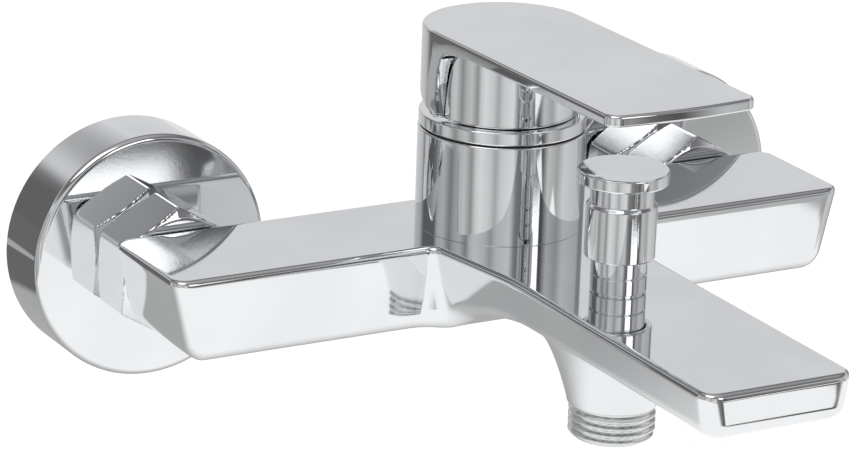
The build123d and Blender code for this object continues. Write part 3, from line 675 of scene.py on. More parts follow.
# --- the body --------------------------------------------------------------------------------
@dataclass
class Body:
    """Cross bar, spout and shower neck: one polished casting. Millimetres."""

    datum: Datum
    bar_half: float = 94.6
    bar_depth: float = 36.0
    bar_above: float = 12.2
    bar_below: float = 9.5
    end_lean: float = 13.4
    spout_half: float = 20.3
    root_half: float = 25.0
    root_end: float = 99.8
    taper_run: float = 28.0
    taper_knee: float = 3.0
    side_lean: float = 9.0
    plan_corner: float = 4.4
    tip_corner: float = 4.6
    inner_corner: float = 2.6
    corner_growth: float = 7.0
    top_edge: float = 1.5
    lower_edge: float = 5.0
    plate_edge: float = 3.4
    plate_start: float = 20.0
    neck_half: float = 17.9
    neck_reach: float = 20.4
    neck_foot_r: float = 11.1
    neck_foot: float = 15.8
    neck_bore: float = 8.0
    neck_steps: int = 144
    neck_chamfer: float = 0.8
    recess_r: float = 10.4
    recess_deep: float = 5.4
    recess_back: float = 13.4
    arch: tuple = (
        (20.0, -9.5), (50.0, -9.5), (66.0, -9.5), (71.8, -9.2), (76.0, -7.0), (80.0, -4.5), (85.0, -2.5),
        (91.5, -0.8), (100.0, 0.4), (112.0, 0.7), (136.0, 0.7), (156.0, 0.85), (166.0, 1.0), (200.0, 1.0),
    )

    def __post_init__(self) -> None:
        """Work out the bar's front and the spout's tip."""
        self.rear = self.datum.bar_rear / MM
        self.front = self.rear + self.bar_depth
        self.tip = self.datum.tip_out / MM
        self.axis = self.datum.diverter_out / MM

    def underside(self, out: Array) -> Array:
        """Height of the lower face: level under the bar, then an arch up to the spout's plate.

        Formula: a smooth curve through the places of the arch.
        """
        places = np.array(self.arch)
        return smooth_table(out, places[:, 0], places[:, 1])

    def spout_side(self, out: Array) -> Array:
        """Half width at the top edge: tapers from the bar, then stays parallel."""
        slope = (self.root_half - self.spout_half) / self.taper_run
        return self.spout_half + slope * soft_plus(self.root_end - out, self.taper_knee)

    def outline(self, drop: Array, trim: Array) -> tuple[Array, Array]:
        """Half outline of the plan, from the rear's middle round to the tip's middle.

        Formula: straight runs and corner arcs in turn; the bar's ends and the spout's sides move
        in with depth by the tangent of their lean, and every run moves in by the trim.

        Args:
            drop: depth below the top at each level and step.
            trim: how far edge rounding moves each point in.

        Returns:
            The x and out coordinates at each level and step.
        """
        end = self.bar_half - drop * math.tan(math.radians(self.end_lean)) - trim
        lean = drop * math.tan(math.radians(self.side_lean)) + trim
        rear, front, tip = self.rear + trim, self.front - trim, self.tip - trim
        corner = np.maximum(self.plan_corner - trim, 0.5)
        nose = np.maximum(self.tip_corner - trim, 0.7)
        deepest = self.bar_above + self.bar_below
        hollow = self.inner_corner + self.corner_growth * (drop / deepest) ** 1.5 + trim
        s = self.steps
        x, out = np.zeros_like(drop), np.zeros_like(drop)
        quarter = math.pi / 2

        def put(part: str, xs: Callable[[Array], Array], outs: Callable[[Array], Array]) -> None:
            """Fill the columns of one run."""
            columns = self.runs[part]
            share = s[columns]
            x[:, columns] = xs(share)
            out[:, columns] = outs(share)

        def at(values: Array, part: str) -> Array:
            """The columns of one run."""
            return values[:, self.runs[part]]

        e, c = at(end, "rear"), at(corner, "rear")
        put("rear", lambda t: t * (e - c), lambda t: at(rear, "rear") + 0 * t)
        e1, c1 = at(end, "rear_corner"), at(corner, "rear_corner")
        put("rear_corner", lambda t: e1 - c1 + c1 * np.sin(t * quarter),
            lambda t: at(rear, "rear_corner") + c1 - c1 * np.cos(t * quarter))
        e2, c2 = at(end, "end"), at(corner, "end")
        put("end", lambda t: e2 + 0 * t,
            lambda t: at(rear, "end") + c2 + t * (at(front, "end") - at(rear, "end") - 2 * c2))
        e3, c3 = at(end, "front_corner"), at(corner, "front_corner")
        put("front_corner", lambda t: e3 - c3 + c3 * np.cos(t * quarter),
            lambda t: at(front, "front_corner") - c3 + c3 * np.sin(t * quarter))
        turn_out = front + hollow
        turn_x = self.spout_side(turn_out) - lean + hollow
        e4, c4, x4 = at(end, "front"), at(corner, "front"), at(turn_x, "front")
        put("front", lambda t: e4 - c4 + t * (x4 - e4 + c4), lambda t: at(front, "front") + 0 * t)
        h5, x5, o5 = at(hollow, "inner"), at(turn_x, "inner"), at(turn_out, "inner")
        put("inner", lambda t: x5 - h5 * np.sin(t * quarter), lambda t: o5 - h5 * np.cos(t * quarter))
        run_start, run_end = at(turn_out, "side"), at(tip, "side") - at(nose, "side")
        put("side", lambda t: self.spout_side(run_start + t * (run_end - run_start)) - at(lean, "side"),
            lambda t: run_start + t * (run_end - run_start))
        n6 = at(nose, "nose")
        wide = self.spout_side(at(tip, "nose") - n6) - at(lean, "nose")
        put("nose", lambda t: wide - n6 + n6 * np.cos(t * quarter),
            lambda t: at(tip, "nose") - n6 + n6 * np.sin(t * quarter))
        n7 = at(nose, "tip")
        flat = self.spout_side(at(tip, "tip") - n7) - at(lean, "tip") - n7
        put("tip", lambda t: (1 - t) * flat, lambda t: at(tip, "tip") + 0 * t)
        return x, out

    def lay_runs(self) -> None:
        """Number the columns of each run of the outline."""
        counts = {"rear": 40, "rear_corner": 9, "end": 14, "front_corner": 9, "front": 40, "inner": 9,
                  "side": 72, "nose": 10, "tip": 14}
        self.runs, shares, start = {}, [], 0
        for name, count in counts.items():
            self.runs[name] = slice(start, start + count)
            last = name == "tip"
            shares.append(np.linspace(0, 1, count, endpoint=last))
            start += count
        self.steps = np.concatenate(shares)

    def wall(self) -> Array:
        """Side wall grid: top rounding, leaning wall, lower rounding.

        Formula: the top arc drops by radius times (1 - sine) and moves in by radius times
        (1 - cosine); the wall is a straight blend; the lower arc mirrors the top one.

        Returns:
            The full grid of points.
        """
        self.lay_runs()
        count = len(self.steps)
        zero = np.zeros((1, count))
        total = zero + self.bar_above + self.bar_below
        low_r = zero + self.lower_edge
        for _ in range(30):
            _, foot_out = self.outline(total, low_r)
            total = (total + self.bar_above - self.underside(foot_out)) / 2
            low_r = self.edge_radius(foot_out)
        top = arc_steps(7)[:, None] * math.pi / 2
        first_drop = self.top_edge * (1 - np.cos(top)) + zero
        first_trim = self.top_edge * (1 - np.sin(top)) + zero
        share = arc_steps(14)[1:, None]
        wall_drop = self.top_edge + share * (total - low_r - self.top_edge)
        low = arc_steps(12)[1:, None] * math.pi / 2
        low_drop = total - low_r * (1 - np.sin(low))
        low_trim = low_r * (1 - np.cos(low))
        drop = np.concatenate([zero, first_drop, wall_drop, low_drop])
        trim = np.concatenate([zero + self.top_edge + 0.35, first_trim, 0 * wall_drop, low_trim])
        x, out = self.outline(drop, trim)
        level = self.bar_above - drop
        half = np.stack([x, -out, level], axis=-1)
        mirror = half[:, ::-1][:, 1:-1] * np.array([-1.0, 1.0, 1.0])
        return np.concatenate([half, mirror], axis=1)

    def to_frame(self, points: Array) -> Array:
        """Millimetres from the inlet axis to metres in the frame."""
        return points * MM + np.array([0.0, 0.0, self.datum.inlet_height])

    def edge_radius(self, out: Array) -> Array:
        """Radius of the lower edge: full under the bar, smaller along the spout's plate.

        Formula: a smooth step from one radius to the other over the start of the plate.
        """
        t = np.clip((out - self.front) / self.plate_start, 0.0, 1.0)
        return self.lower_edge - (self.lower_edge - self.plate_edge) * t * t * (3 - 2 * t)

    def neck_shell(self) -> Sheet:
        """Flared neck under the spout.

        Formula: the rim is an ellipse; from the foot's radius the neck widens by six parts of a
        straight cone and four parts of a quarter ellipse until it lies in the casting's own lower
        surface, whose height is taken at each point of the rim.

        Returns:
            The closed surface, its inner loop hidden inside the casting.
        """
        count = self.neck_steps
        turn = np.arange(count) * 2 * math.pi / count
        rim_r = 1.0 / np.sqrt((np.sin(turn) / self.neck_half) ** 2 + (np.cos(turn) / self.neck_reach) ** 2)
        x = rim_r * np.sin(turn)
        out = self.axis - rim_r * np.cos(turn)
        height = self.bar_above - self.underside(out)
        wide = self.spout_side(out) - height * math.tan(math.radians(self.side_lean))
        edge = self.edge_radius(out)
        past = np.clip(np.abs(x) - (wide - edge), 0.0, edge * 0.985)
        rim = self.underside(out) + edge - np.sqrt(edge**2 - past**2) - 0.03
        share = arc_steps(22)[:, None]
        flare = 0.6 * share + 0.4 * (1 - np.sqrt(1 - share**2 * 0.9999))
        radius = self.neck_foot_r + (rim_r - self.neck_foot_r) * flare
        chamfer = self.neck_chamfer
        level = -self.neck_foot + chamfer + share * (rim + self.neck_foot - chamfer)
        foot = rounded([(self.neck_bore, -self.neck_foot, 0), (self.neck_foot_r, -self.neck_foot, 0.5),
                        (self.neck_foot_r, -self.neck_foot + chamfer, 0)], closed=False)
        foot_r = np.broadcast_to(foot[:, 0, None], (len(foot), count))
        foot_z = np.broadcast_to(foot[:, 1, None], (len(foot), count))
        inner_r = np.full((2, count), self.neck_bore)
        inner_z = np.array([[0.0], [-self.neck_foot]]) + np.zeros((1, count))
        top_r = rim_r[None] - 1.5
        radius = np.concatenate([foot_r, radius[1:], top_r, inner_r[:1]])
        level = np.concatenate([foot_z, level[1:], rim[None] + 1.5, inner_z[:1]])
        centre = Vector((0.0, -self.axis * MM, self.datum.inlet_height))
        return field_turned(radius, level, turn, centre)

    def recess(self) -> tuple[Array, Sheet]:
        """Bored seat of the aerator in the lip's lower face.

        Formula: a circle on the lower face, carried straight up to a flat roof.

        Returns:
            The rim in millimetres, and the bore with its roof.
        """
        turn = np.arange(96) * 2 * math.pi / 96
        middle = self.tip - self.recess_back
        x = self.recess_r * np.sin(turn)
        out = middle + self.recess_r * np.cos(turn)
        rim = np.column_stack([x, -out, self.underside(out)])
        roof = self.underside(np.array([middle]))[0] + self.recess_deep
        share = np.array([1.0, 1.0, 0.999, 0.0])[:, None]
        radius_x, radius_out = share * x, middle + share * (out - middle)
        level = np.stack([rim[:, 2], np.full(96, roof), np.full(96, roof), np.full(96, roof)])
        grid = np.stack([radius_x, -radius_out, level], axis=-1)
        return rim, Sheet(self.to_frame(grid), wrap_columns=True)

    def build(self) -> list[bpy.types.Object]:
        """Build the casting's pieces.

        Returns:
            The pieces.
        """
        grid = self.wall()
        rim, bore = self.recess()
        lower = fill_outline(grid[-1], lambda plan: self.underside(-plan[:, 1]), [rim], 3.0)
        lower.points = self.to_frame(lower.points)
        upper = fill_outline(grid[0], lambda plan: np.full(len(plan), self.bar_above), [], 6.0)
        upper.points = self.to_frame(upper.points)
        shells = [Sheet(self.to_frame(grid), wrap_columns=True), lower, upper, bore]
        casting = make_piece("mixer_body", shells, Looks.CHROME)
        finish_piece(casting, "root", "chromed_cast_brass", "body_casting")
        neck = make_piece("shower_neck", [self.neck_shell()], Looks.CHROME, 50.0)
        finish_piece(neck, "root", "chromed_cast_brass")
        return [casting, neck]


# --- inlets ----------------------------------------------------------------------------------
def thread_radius(turn: Array, level: Array, crest: float, depth: float, pitch: float, start: float,
                  end: float) -> Array:
    """Radius of a rounded V thread.

    Formula: the crest's radius less the depth times a clipped wave of (level / pitch - turn),
    faded in over the first and out over the last part of a turn.

    Args:
        turn: angles, radians.
        level: heights.
        crest: outside radius.
        depth: thread depth.
        pitch: advance in one turn.
        start: where the thread starts.
        end: where it ends.

    Returns:
        The radius at each point.
    """
    wave = np.cos(2 * math.pi * (level / pitch) - turn)
    groove = 0.5 - 0.5 * np.clip(wave * 1.35, -1.0, 1.0)
    fade = np.clip((level - start) / (0.6 * pitch), 0, 1) * np.clip((end - level) / (0.5 * pitch), 0, 1)
    return crest - depth * groove * fade - depth * (1 - fade) * np.where(level > (start + end) / 2, 0.15, 0.6)


@dataclass
class Inlet:
    """One wall connection: union, rose, nut and stub. Millimetres."""

    side: str
    datum: Datum
    rose_r: float = 31.3
    rose_wall: float = 1.2
    rose_edge: float = 1.6
    nut_flats: float = 30.0
    thread_pitch: float = 1.814
    thread_depth: float = 1.16
    wall_thread_r: float = 10.478
    nut_thread_r: float = 13.22
    nut_thread_start: float = 14.0
    crank_start: float = 1.2
    crank_length: float = 2.2
    union_bore: float = 7.4
    rose_bore: float = 13.27
    nut_bore: float = 13.3
    nut_mouth: float = 8.2
    nut_cover: float = 1.5
    chamfer_deep: float = 3.2

    def centre(self) -> Vector:
        """Where the inlet axis meets the wall."""
        sign = -1 if self.side == "left" else 1
        return Vector((sign * self.datum.half_spacing, 0.0, self.datum.inlet_height))

    def rose(self) -> bpy.types.Object:
        """Cup with a rolled front edge and a hole for the union."""
        low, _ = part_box(f"wall_rose_{self.side}")
        deep = -low[1] / MM
        hole, wall, inner = self.rose_bore, self.rose_wall, self.rose_r - self.rose_wall
        profile = rounded([
            (self.rose_r, 0.0, 0.25), (self.rose_r, deep, self.rose_edge), (hole, deep, 0.3),
            (hole, deep - wall, 0.2), (inner, deep - wall, 0.5), (inner, 0.0, 0.2),
        ])
        cup = turned(profile, self.centre(), 220, outward=True)
        return make_piece(f"rose_{self.side}", [cup], Looks.CHROME)

    def nut(self) -> bpy.types.Object:
        """Hexagon union nut with turned chamfers.

        Formula: the radius is the smaller, smoothly blended, of a softened hexagon and the
        chamfer cone; the hexagon is the p-norm of the six flats.

        Returns:
            The nut.
        """
        low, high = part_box(f"union_nut_{self.side}")
        start, end = -high[1] / MM, -low[1] / MM
        turn = np.arange(360) * 2 * math.pi / 360
        flats = np.maximum(np.cos(turn[:, None] - np.arange(6)[None] * math.pi / 3 - math.pi / 2), 0)
        hexagon = self.nut_flats / 2 / np.sum(flats**90, axis=1) ** (1 / 90)
        deep = self.chamfer_deep
        depth = np.concatenate([arc_steps(16) * deep, deep + arc_steps(6)[1:] * (end - start - 2 * deep),
                                end - start - deep + arc_steps(16)[1:] * deep])
        from_end = np.minimum(depth, end - start - depth)
        cone = self.nut_flats / 2 - 0.55 + from_end[:, None] * math.tan(math.radians(60)) + 0 * turn
        six = hexagon[None] + 0 * cone
        blend = 0.5 * (six + cone - np.sqrt((six - cone) ** 2 + 0.05**2))
        last = self.nut_flats / 2 - 1.0
        ends = np.full((1, 360), last)
        bore = np.full((1, 360), self.nut_bore)
        mouth = np.full((1, 360), self.nut_mouth)
        radius = np.concatenate([ends, blend, ends, mouth, mouth, bore, bore])
        cover = end - self.nut_cover
        level = np.concatenate([[start], start + depth, [end, end, cover, cover, start]])
        grid = field_turned(radius, level[:, None] + 0 * turn, turn, self.centre(), outward=True)
        return make_piece(f"nut_{self.side}", [grid], Looks.CHROME, 40.0)

    def union(self) -> bpy.types.Object:
        """Offset union: wall thread, crank and nut thread.

        Formula: circles along -Y whose centre slides from the wall outlet's axis to the inlet
        axis over the crank, with threads cut by thread_radius at both ends.

        Returns:
            The union.
        """
        low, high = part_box(f"eccentric_union_{self.side}")
        back, front = -high[1] / MM, -low[1] / MM
        turn = np.arange(96) * 2 * math.pi / 96
        begin = self.nut_thread_start
        level = np.concatenate([np.linspace(back, self.crank_start, 84), np.linspace(1.4, begin, 8),
                                np.linspace(14.2, front, 60)])
        middle = level[:, None]
        crank = np.clip((middle - self.crank_start) / self.crank_length, 0, 1)
        wall_thread = thread_radius(turn[None], middle, self.wall_thread_r, self.thread_depth,
                                    self.thread_pitch, back + 0.6, 0.8)
        nut_thread = thread_radius(turn[None], middle, self.nut_thread_r, self.thread_depth,
                                   self.thread_pitch, begin, front - 0.4)
        plain = np.where(middle < 1.3, wall_thread, 10.4 + crank * 2.4)
        outer = np.where(middle >= begin, nut_thread, plain)
        rise = self.datum.inlet_height / MM
        shift = rise * (1 - crank) * -1
        inner_r = self.union_bore + 0 * turn[None]
        radius = np.concatenate([outer, np.repeat(inner_r, 3, axis=0)])
        inner_level = np.array([[front], [2.0], [back]]) + 0 * turn
        level_grid = np.concatenate([middle + 0 * turn, inner_level])
        shift_grid = np.concatenate([shift, np.array([[0.0], [-rise * 0.5], [-rise]])])
        sheet = field_turned(radius, level_grid, turn, self.centre(), outward=True)
        sheet.points[..., 2] += shift_grid * MM
        return make_piece(f"union_{self.side}", [sheet], Looks.BRASS, 40.0)

    def build(self) -> list[bpy.types.Object]:
        """Build the inlet's pieces.

        Returns:
            The pieces.
        """
        rose, nut, union = self.rose(), self.nut(), self.union()
        finish_piece(rose, "root", "chrome", f"wall_rose_{self.side}")
        finish_piece(nut, "root", "chrome", f"union_nut_{self.side}")
        finish_piece(union, "root", "brass", f"eccentric_union_{self.side}")
        return [rose, nut, union]


# --- tower -----------------------------------------------------------------------------------
@dataclass
class Tower:
    """Sleeve and trim ring round the cartridge. Millimetres."""

    datum: Datum
    edge: float = 0.45
    sleeve_bore: float = 18.9
    ring_bore: float = 14.6
    ring_foot_r: float = 17.2
    ring_flange: float = 3.4

    def ring_of(self, node: str, bore: float, edge: float, foot_r: float = 0.0) -> Array:
        """Profile of a ring with rounded outer edges.

        Args:
            node: the node whose box gives its radius and heights.
            bore: inner radius.
            edge: rounding of the outer edges.
            foot_r: radius of a narrower foot, or 0 for none.

        Returns:
            The profile, heights from the frame's origin.
        """
        low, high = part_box(node)
        radius = (high[0] - low[0]) / 2 / MM
        bottom, top = low[2] / MM, high[2] / MM
        if foot_r:
            step = top - self.ring_flange
            return rounded([(radius, step, edge), (radius, top, edge), (bore, top, 0.3), (bore, bottom, 0.2),
                            (foot_r, bottom, 0.2), (foot_r, step, 0)])
        return rounded([(radius, bottom, 0.12), (radius, top, edge), (bore, top, 0.2), (bore, bottom, 0.1)])

    def build(self) -> list[bpy.types.Object]:
        """Build sleeve and ring.

        Returns:
            The pieces.
        """
        centre = Vector((0.0, -self.datum.tower_out, 0.0))
        sleeve_profile = self.ring_of("tower_sleeve", self.sleeve_bore, self.edge)
        sleeve = make_piece("tower_shell", [turned(sleeve_profile, centre, 200)], Looks.CHROME)
        finish_piece(sleeve, "root", "chrome", "tower_sleeve")
        ring_profile = self.ring_of("trim_ring", self.ring_bore, self.edge, self.ring_foot_r)
        ring = make_piece("ring_trim", [turned(ring_profile, centre, 200)], Looks.CHROME)
        finish_piece(ring, "root", "chrome", "trim_ring")
        return [sleeve, ring]


# --- lever -----------------------------------------------------------------------------------
@dataclass
class Lever:
    """Flat paddle with a half-round skirt and a round neck. Millimetres."""

    datum: Datum
    radius: float = 20.6
    tip_half: float = 20.1
    reach: float = 83.3
    tip_corner: float = 4.0
    top_edge: float = 0.9
    low_edge: float = 0.45
    skirt_wall: float = 2.4
    neck_r: float = 18.2
    relief_start: float = 2.2
    front_drop: float = 0.28
    relief_angle: float = 20.0
    skirt_end: float = 12.0
    skirt_rise: float = 18.8
    skirt_dip: float = 0.15
    bow: float = 0.9
    hub_foot: float = 52.0
    hub_half: float = 7.5
    socket_half: float = 3.55

    def __post_init__(self) -> None:
        """Take the heights from the lever's node."""
        low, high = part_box("lever_handle")
        self.low = low[2] / MM
        self.tip_top = high[2] / MM
        self.rise = 1.2 / self.reach
        self.centre = np.array([0.0, -self.datum.tower_out, 0.0])

    def top(self, ahead: Array) -> Array:
        """Height of the paddle's top, rising slightly towards the tip."""
        return self.tip_top - (self.reach - ahead) * self.rise

    def under(self, ahead: Array) -> Array:
        """Height of the paddle's lower face, dipping where the skirt begins."""
        plate = self.tip_top - 2.75 - (self.reach - ahead) * 0.0165
        dip = 2.1 * np.exp(-np.clip(ahead - 4.0, 0, None) / 7.0)
        return plate - dip

    def plan(self, run: Array, trim: Array) -> Array:
        """Outline of the lever by arc share, moved in by a trim.

        Formula: run 0 to 1 goes round the back half circle's one half, 1 to 2 along the side, 2 to
        3 round the tip's corner and 3 to 4 along the tip to its middle.

        Args:
            run: place along the half outline.
            trim: distance inwards.

        Returns:
            Side and forward coordinates.
        """
        run, trim = np.broadcast_arrays(run, trim)
        radius = self.radius - trim
        corner = np.maximum(self.tip_corner - trim, 0.6)
        tip = self.reach - trim
        half = self.tip_half - trim
        back = np.clip(run, 0, 1) * math.pi / 2
        side_share = np.clip(run - 1, 0, 1)
        turn = np.clip(run - 2, 0, 1) * math.pi / 2
        tip_share = np.clip(run - 3, 0, 1)
        x_back, ahead_back = radius * np.sin(back), -radius * np.cos(back)
        ahead_side = side_share * (tip - corner)
        x_side = radius + (half - radius) * side_share
        x_turn = half - corner + corner * np.cos(turn)
        ahead_turn = tip - corner + corner * np.sin(turn)
        x_tip = (half - corner) * (1 - tip_share)
        bow = self.bow * (1 - ((1 - tip_share) ** 2)) * (run > 3)
        ahead_tip = tip - self.bow + bow
        stages = [run <= 1, run <= 2, run <= 3]
        x = np.select(stages, [x_back, x_side, x_turn], x_tip)
        ahead = np.select(stages, [ahead_back, ahead_side, ahead_turn - self.bow], ahead_tip)
        return np.stack([x, ahead], axis=-1)

    def boundary(self) -> tuple[Array, Array, Array]:
        """Lower edge of the wall and the top point that each of its points hangs from.

        Formula: round the back the edge follows the relief's slope; at the skirt's front it
        climbs a hollow curve to the paddle, and from there it follows the lower face.

        Returns:
            Run at the top, run at the edge, height of the edge.
        """
        back_run = np.linspace(0, 1, 60, endpoint=False)
        back_ahead = -self.radius * np.cos(back_run * math.pi / 2)
        slope = math.tan(math.radians(self.relief_angle))
        back_level = self.low + np.maximum(self.relief_start - 0.6 - back_ahead, 0) * slope + 0.25
        ahead = np.array([0.0, 1.0, 1.6, 2.2, 2.55, 2.65, 2.45, 2.1, 1.9,
                          2.0, 2.5, 3.2, 4.0, 5.2, 6.8, 9.0, self.skirt_end])
        level = np.array([0.7, 0.35, 0.2, self.skirt_dip, 0.6, 1.2, 2.4, 4.5, 7.0,
                          9.5, 12.2, 14.4, 16.0, 17.0, 17.75, 18.35, self.skirt_rise])
        share = np.linspace(0, 1, len(ahead))
        fine = np.linspace(0, 1, 70, endpoint=False)
        curve_ahead = smooth_table(fine, share, ahead)
        curve_level = self.low + smooth_table(fine, share, level)
        end_level = float(self.under(np.array([self.skirt_end]))[0])
        dip = self.skirt_dip
        gain = (end_level - self.low - dip) / (self.skirt_rise - dip)
        curve_level = self.low + dip + (curve_level - self.low - dip) * gain
        flat = self.reach - self.tip_corner
        front = np.concatenate([np.linspace(self.skirt_end, flat, 46, endpoint=False) / flat,
                                1 + np.linspace(0, 1, 12, endpoint=False), 2 + np.linspace(0, 1, 16)])
        run_front = 1 + front
        run_edge = np.concatenate([back_run, 1 + curve_ahead / flat, run_front])
        front_ahead = self.plan(run_front, np.zeros_like(run_front))[:, 1]
        edge_level = np.concatenate([back_level, curve_level, self.under(front_ahead)])
        run_top = np.concatenate([back_run, 1 + fine * self.skirt_end / flat, run_front])
        return run_top, run_edge, edge_level

    def mirrored(self, half: Array) -> Array:
        """Add the other half of a grid that starts and ends on the middle plane."""
        other = half[:, ::-1][:, 1:-1] * np.array([-1.0, 1.0, 1.0])
        return np.concatenate([half, other], axis=1)

    def points(self, plan: Array, level: Array) -> Array:
        """Side, forward and height to frame coordinates, metres."""
        return np.stack([plan[..., 0], -plan[..., 1], level], axis=-1) * MM + self.centre

    def shell(self) -> bpy.types.Object:
        """Paddle and skirt as one closed shell.

        Formula: rows go from just inside the top over its rounded edge, down the wall between
        top and lower edge, round that edge, across the wall's thickness and up inside.

        Returns:
            The shell.
        """
        run_top, run_edge, edge_level = self.boundary()
        rows = []
        level_rows = []

        def row(run: Array, trim: float, level: Array) -> None:
            """Keep one row."""
            rows.append(self.plan(run, np.full_like(run, trim)))
            level_rows.append(level)

        top_plan = self.plan(run_top, np.zeros_like(run_top))
        top_level = self.top(top_plan[:, 1])
        row(run_top, self.top_edge + 0.4, top_level)
        for step in arc_steps(7) * math.pi / 2:
            fall = self.top_edge * (1 - math.cos(step))
            row(run_top, self.top_edge * (1 - math.sin(step)), top_level - fall)
        upper = top_level - self.top_edge
        target = edge_level + self.low_edge
        for share in arc_steps(14)[1:]:
            row(run_top + (run_edge - run_top) * share, 0.0, upper + (target - upper) * share)
        for step in arc_steps(5)[1:] * math.pi / 2:
            row(run_edge, self.low_edge * (1 - math.cos(step)), target - self.low_edge * math.sin(step))
        row(run_edge, self.skirt_wall, edge_level)
        inner_plan = self.plan(run_top, np.full_like(run_top, self.skirt_wall))
        ceiling = self.under(np.maximum(inner_plan[:, 1], 4.0))
        for share in (0.5, 1.0):
            row(run_top * share + run_edge * (1 - share), self.skirt_wall,
                edge_level + (ceiling - edge_level) * share)
        grid = self.points(np.stack(rows), np.stack(level_rows))
        full = self.mirrored(grid)

        def ahead_of(plan: Array) -> Array:
            """Forward coordinate of plan points."""
            return (-plan[:, 1] + self.centre[1]) / MM

        plate = fill_outline(full[-1], lambda plan: self.under(np.maximum(ahead_of(plan), 4.0)) * MM,
                             [], 0.004)
        cover = fill_outline(full[0], lambda plan: self.top(ahead_of(plan)) * MM, [], 0.006)
        return make_piece("lever_shell", [Sheet(full, wrap_columns=True), plate, cover], Looks.CHROME, 34.0)

    def neck(self) -> bpy.types.Object:
        """Round wall under the paddle, cut away at the back like the skirt.

        Formula: a tube whose lower end rises behind the axis with the relief's slope.

        Returns:
            The neck.
        """
        turn = np.arange(160) * 2 * math.pi / 160
        ahead = -np.cos(turn) * self.neck_r
        slope = math.tan(math.radians(self.relief_angle))
        foot = self.low + np.maximum(self.relief_start - ahead, 0) * slope
        foot = foot - self.front_drop * np.clip((ahead - self.relief_start) / 4.0, 0.0, 1.0)
        roof = self.under(np.maximum(ahead, 4.0)) + 0.6
        inner = self.neck_r - 1.7
        edge = arc_steps(5)[:, None] * math.pi / 2
        outer_r = self.neck_r - 0.4 * (1 - np.cos(edge)) + 0 * turn
        outer_z = foot + 0.4 - 0.4 * np.sin(edge)
        radius = np.concatenate([np.full((1, 160), self.neck_r), outer_r, np.full((2, 160), inner)])
        level = np.concatenate([roof[None], outer_z, foot[None], roof[None]])
        centre = Vector(self.centre)
        return make_piece("lever_neck", [field_turned(radius, level, turn, centre)], Looks.CHROME, 40.0)

    def hub(self) -> bpy.types.Object:
        """Square boss under the plate that takes the spindle.

        Formula: a rounded square outline carried up, open in the middle for the square socket.

        Returns:
            The hub.
        """
        turn = np.arange(64) * 2 * math.pi / 64
        shape = 1 / (np.abs(np.sin(turn)) ** 10 + np.abs(np.cos(turn)) ** 10) ** 0.1
        outer, inner = self.hub_half * shape, self.socket_half * shape
        low, high = self.hub_foot, self.tip_top - 4.0
        radius = np.stack([outer, outer, inner, inner])
        level = np.array([[high], [low], [low], [high]]) + 0 * turn
        grid = field_turned(radius, level, turn, Vector(self.centre))
        return make_piece("lever_hub", [grid], Looks.CASTING, 30.0)

    def build(self) -> list[bpy.types.Object]:
        """Build the lever's pieces.

        Returns:
            The pieces.
        """
        shell, neck, hub = self.shell(), self.neck(), self.hub()
        finish_piece(shell, "lever", "chrome", "lever_handle")
        finish_piece(neck, "lever", "chrome")
        finish_piece(hub, "lever", "chrome")
        return [shell, neck, hub]


# --- diverter --------------------------------------------------------------------------------
@dataclass
class Diverter:
    """Pull knob and its guide stem. Millimetres."""

    datum: Datum
    disc_r: float = 11.0
    neck_r: float = 7.6
    barrel_r: float = 8.5
    bore_r: float = 7.1
    disc_thick: float = 3.1
    neck_length: float = 4.8
    stem_bore: float = 4.4
    stem_r: float = 6.75
    groove_height: float = 4.4
    groove_width: float = 0.45
    groove_depth: float = 0.5

    def centre(self) -> Vector:
        """The diverter's axis."""
        return Vector((0.0, -self.datum.diverter_out, 0.0))

    def knob(self) -> bpy.types.Object:
        """Disc, neck and hollow barrel.

        Returns:
            The knob.
        """
        low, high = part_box("diverter_knob")
        bottom, top = low[2] / MM, high[2] / MM
        under = top - self.disc_thick
        neck_foot = under - self.neck_length
        profile = rounded([
            (0.0, top, 0), (self.disc_r, top, 0.55), (self.disc_r, under, 0.5), (self.neck_r, under, 0.5),
            (self.neck_r, neck_foot, 0.9), (self.barrel_r, neck_foot - 0.9, 0.5),
            (self.barrel_r, bottom, 0.4), (self.bore_r, bottom, 0.2),
            (self.bore_r, neck_foot - 0.6, 0.3), (0.0, neck_foot - 0.6, 0),
        ], closed=False)
        sheet = turned(profile, self.centre(), 140)
        sheet.wrap_rows = False
        return make_piece("pull_knob", [sheet], Looks.CHROME, 40.0)

    def stem(self) -> bpy.types.Object:
        """Polished guide that the knob slides over, open at the top.

        Returns:
            The stem.
        """
        _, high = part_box("diverter_bonnet")
        top, bottom = high[2] / MM, self.datum.plate_top / MM
        deep = self.stem_r - self.groove_depth
        half = self.groove_width / 2
        line = bottom + self.groove_height
        profile = rounded([
            (deep, bottom - 1.0, 0), (deep, bottom + 2 * half, 0), (self.stem_r, bottom + 2 * half, 0.1),
            (self.stem_r, line - half, 0.08), (deep, line - half, 0), (deep, line + half, 0),
            (self.stem_r, line + half, 0.08), (self.stem_r, top, 0.5),
            (self.stem_bore, top, 0.3), (self.stem_bore, bottom - 1.0, 0),
        ])
        return make_piece("guide_stem", [turned(profile, self.centre(), 120)], Looks.CHROME, 40.0)

    def build(self) -> list[bpy.types.Object]:
        """Build knob and stem.

        Returns:
            The pieces.
        """
        knob, stem = self.knob(), self.stem()
        finish_piece(knob, "diverter", "chrome", "diverter_knob")
        finish_piece(stem, "root", "chrome", "diverter_bonnet")
        return [knob, stem]


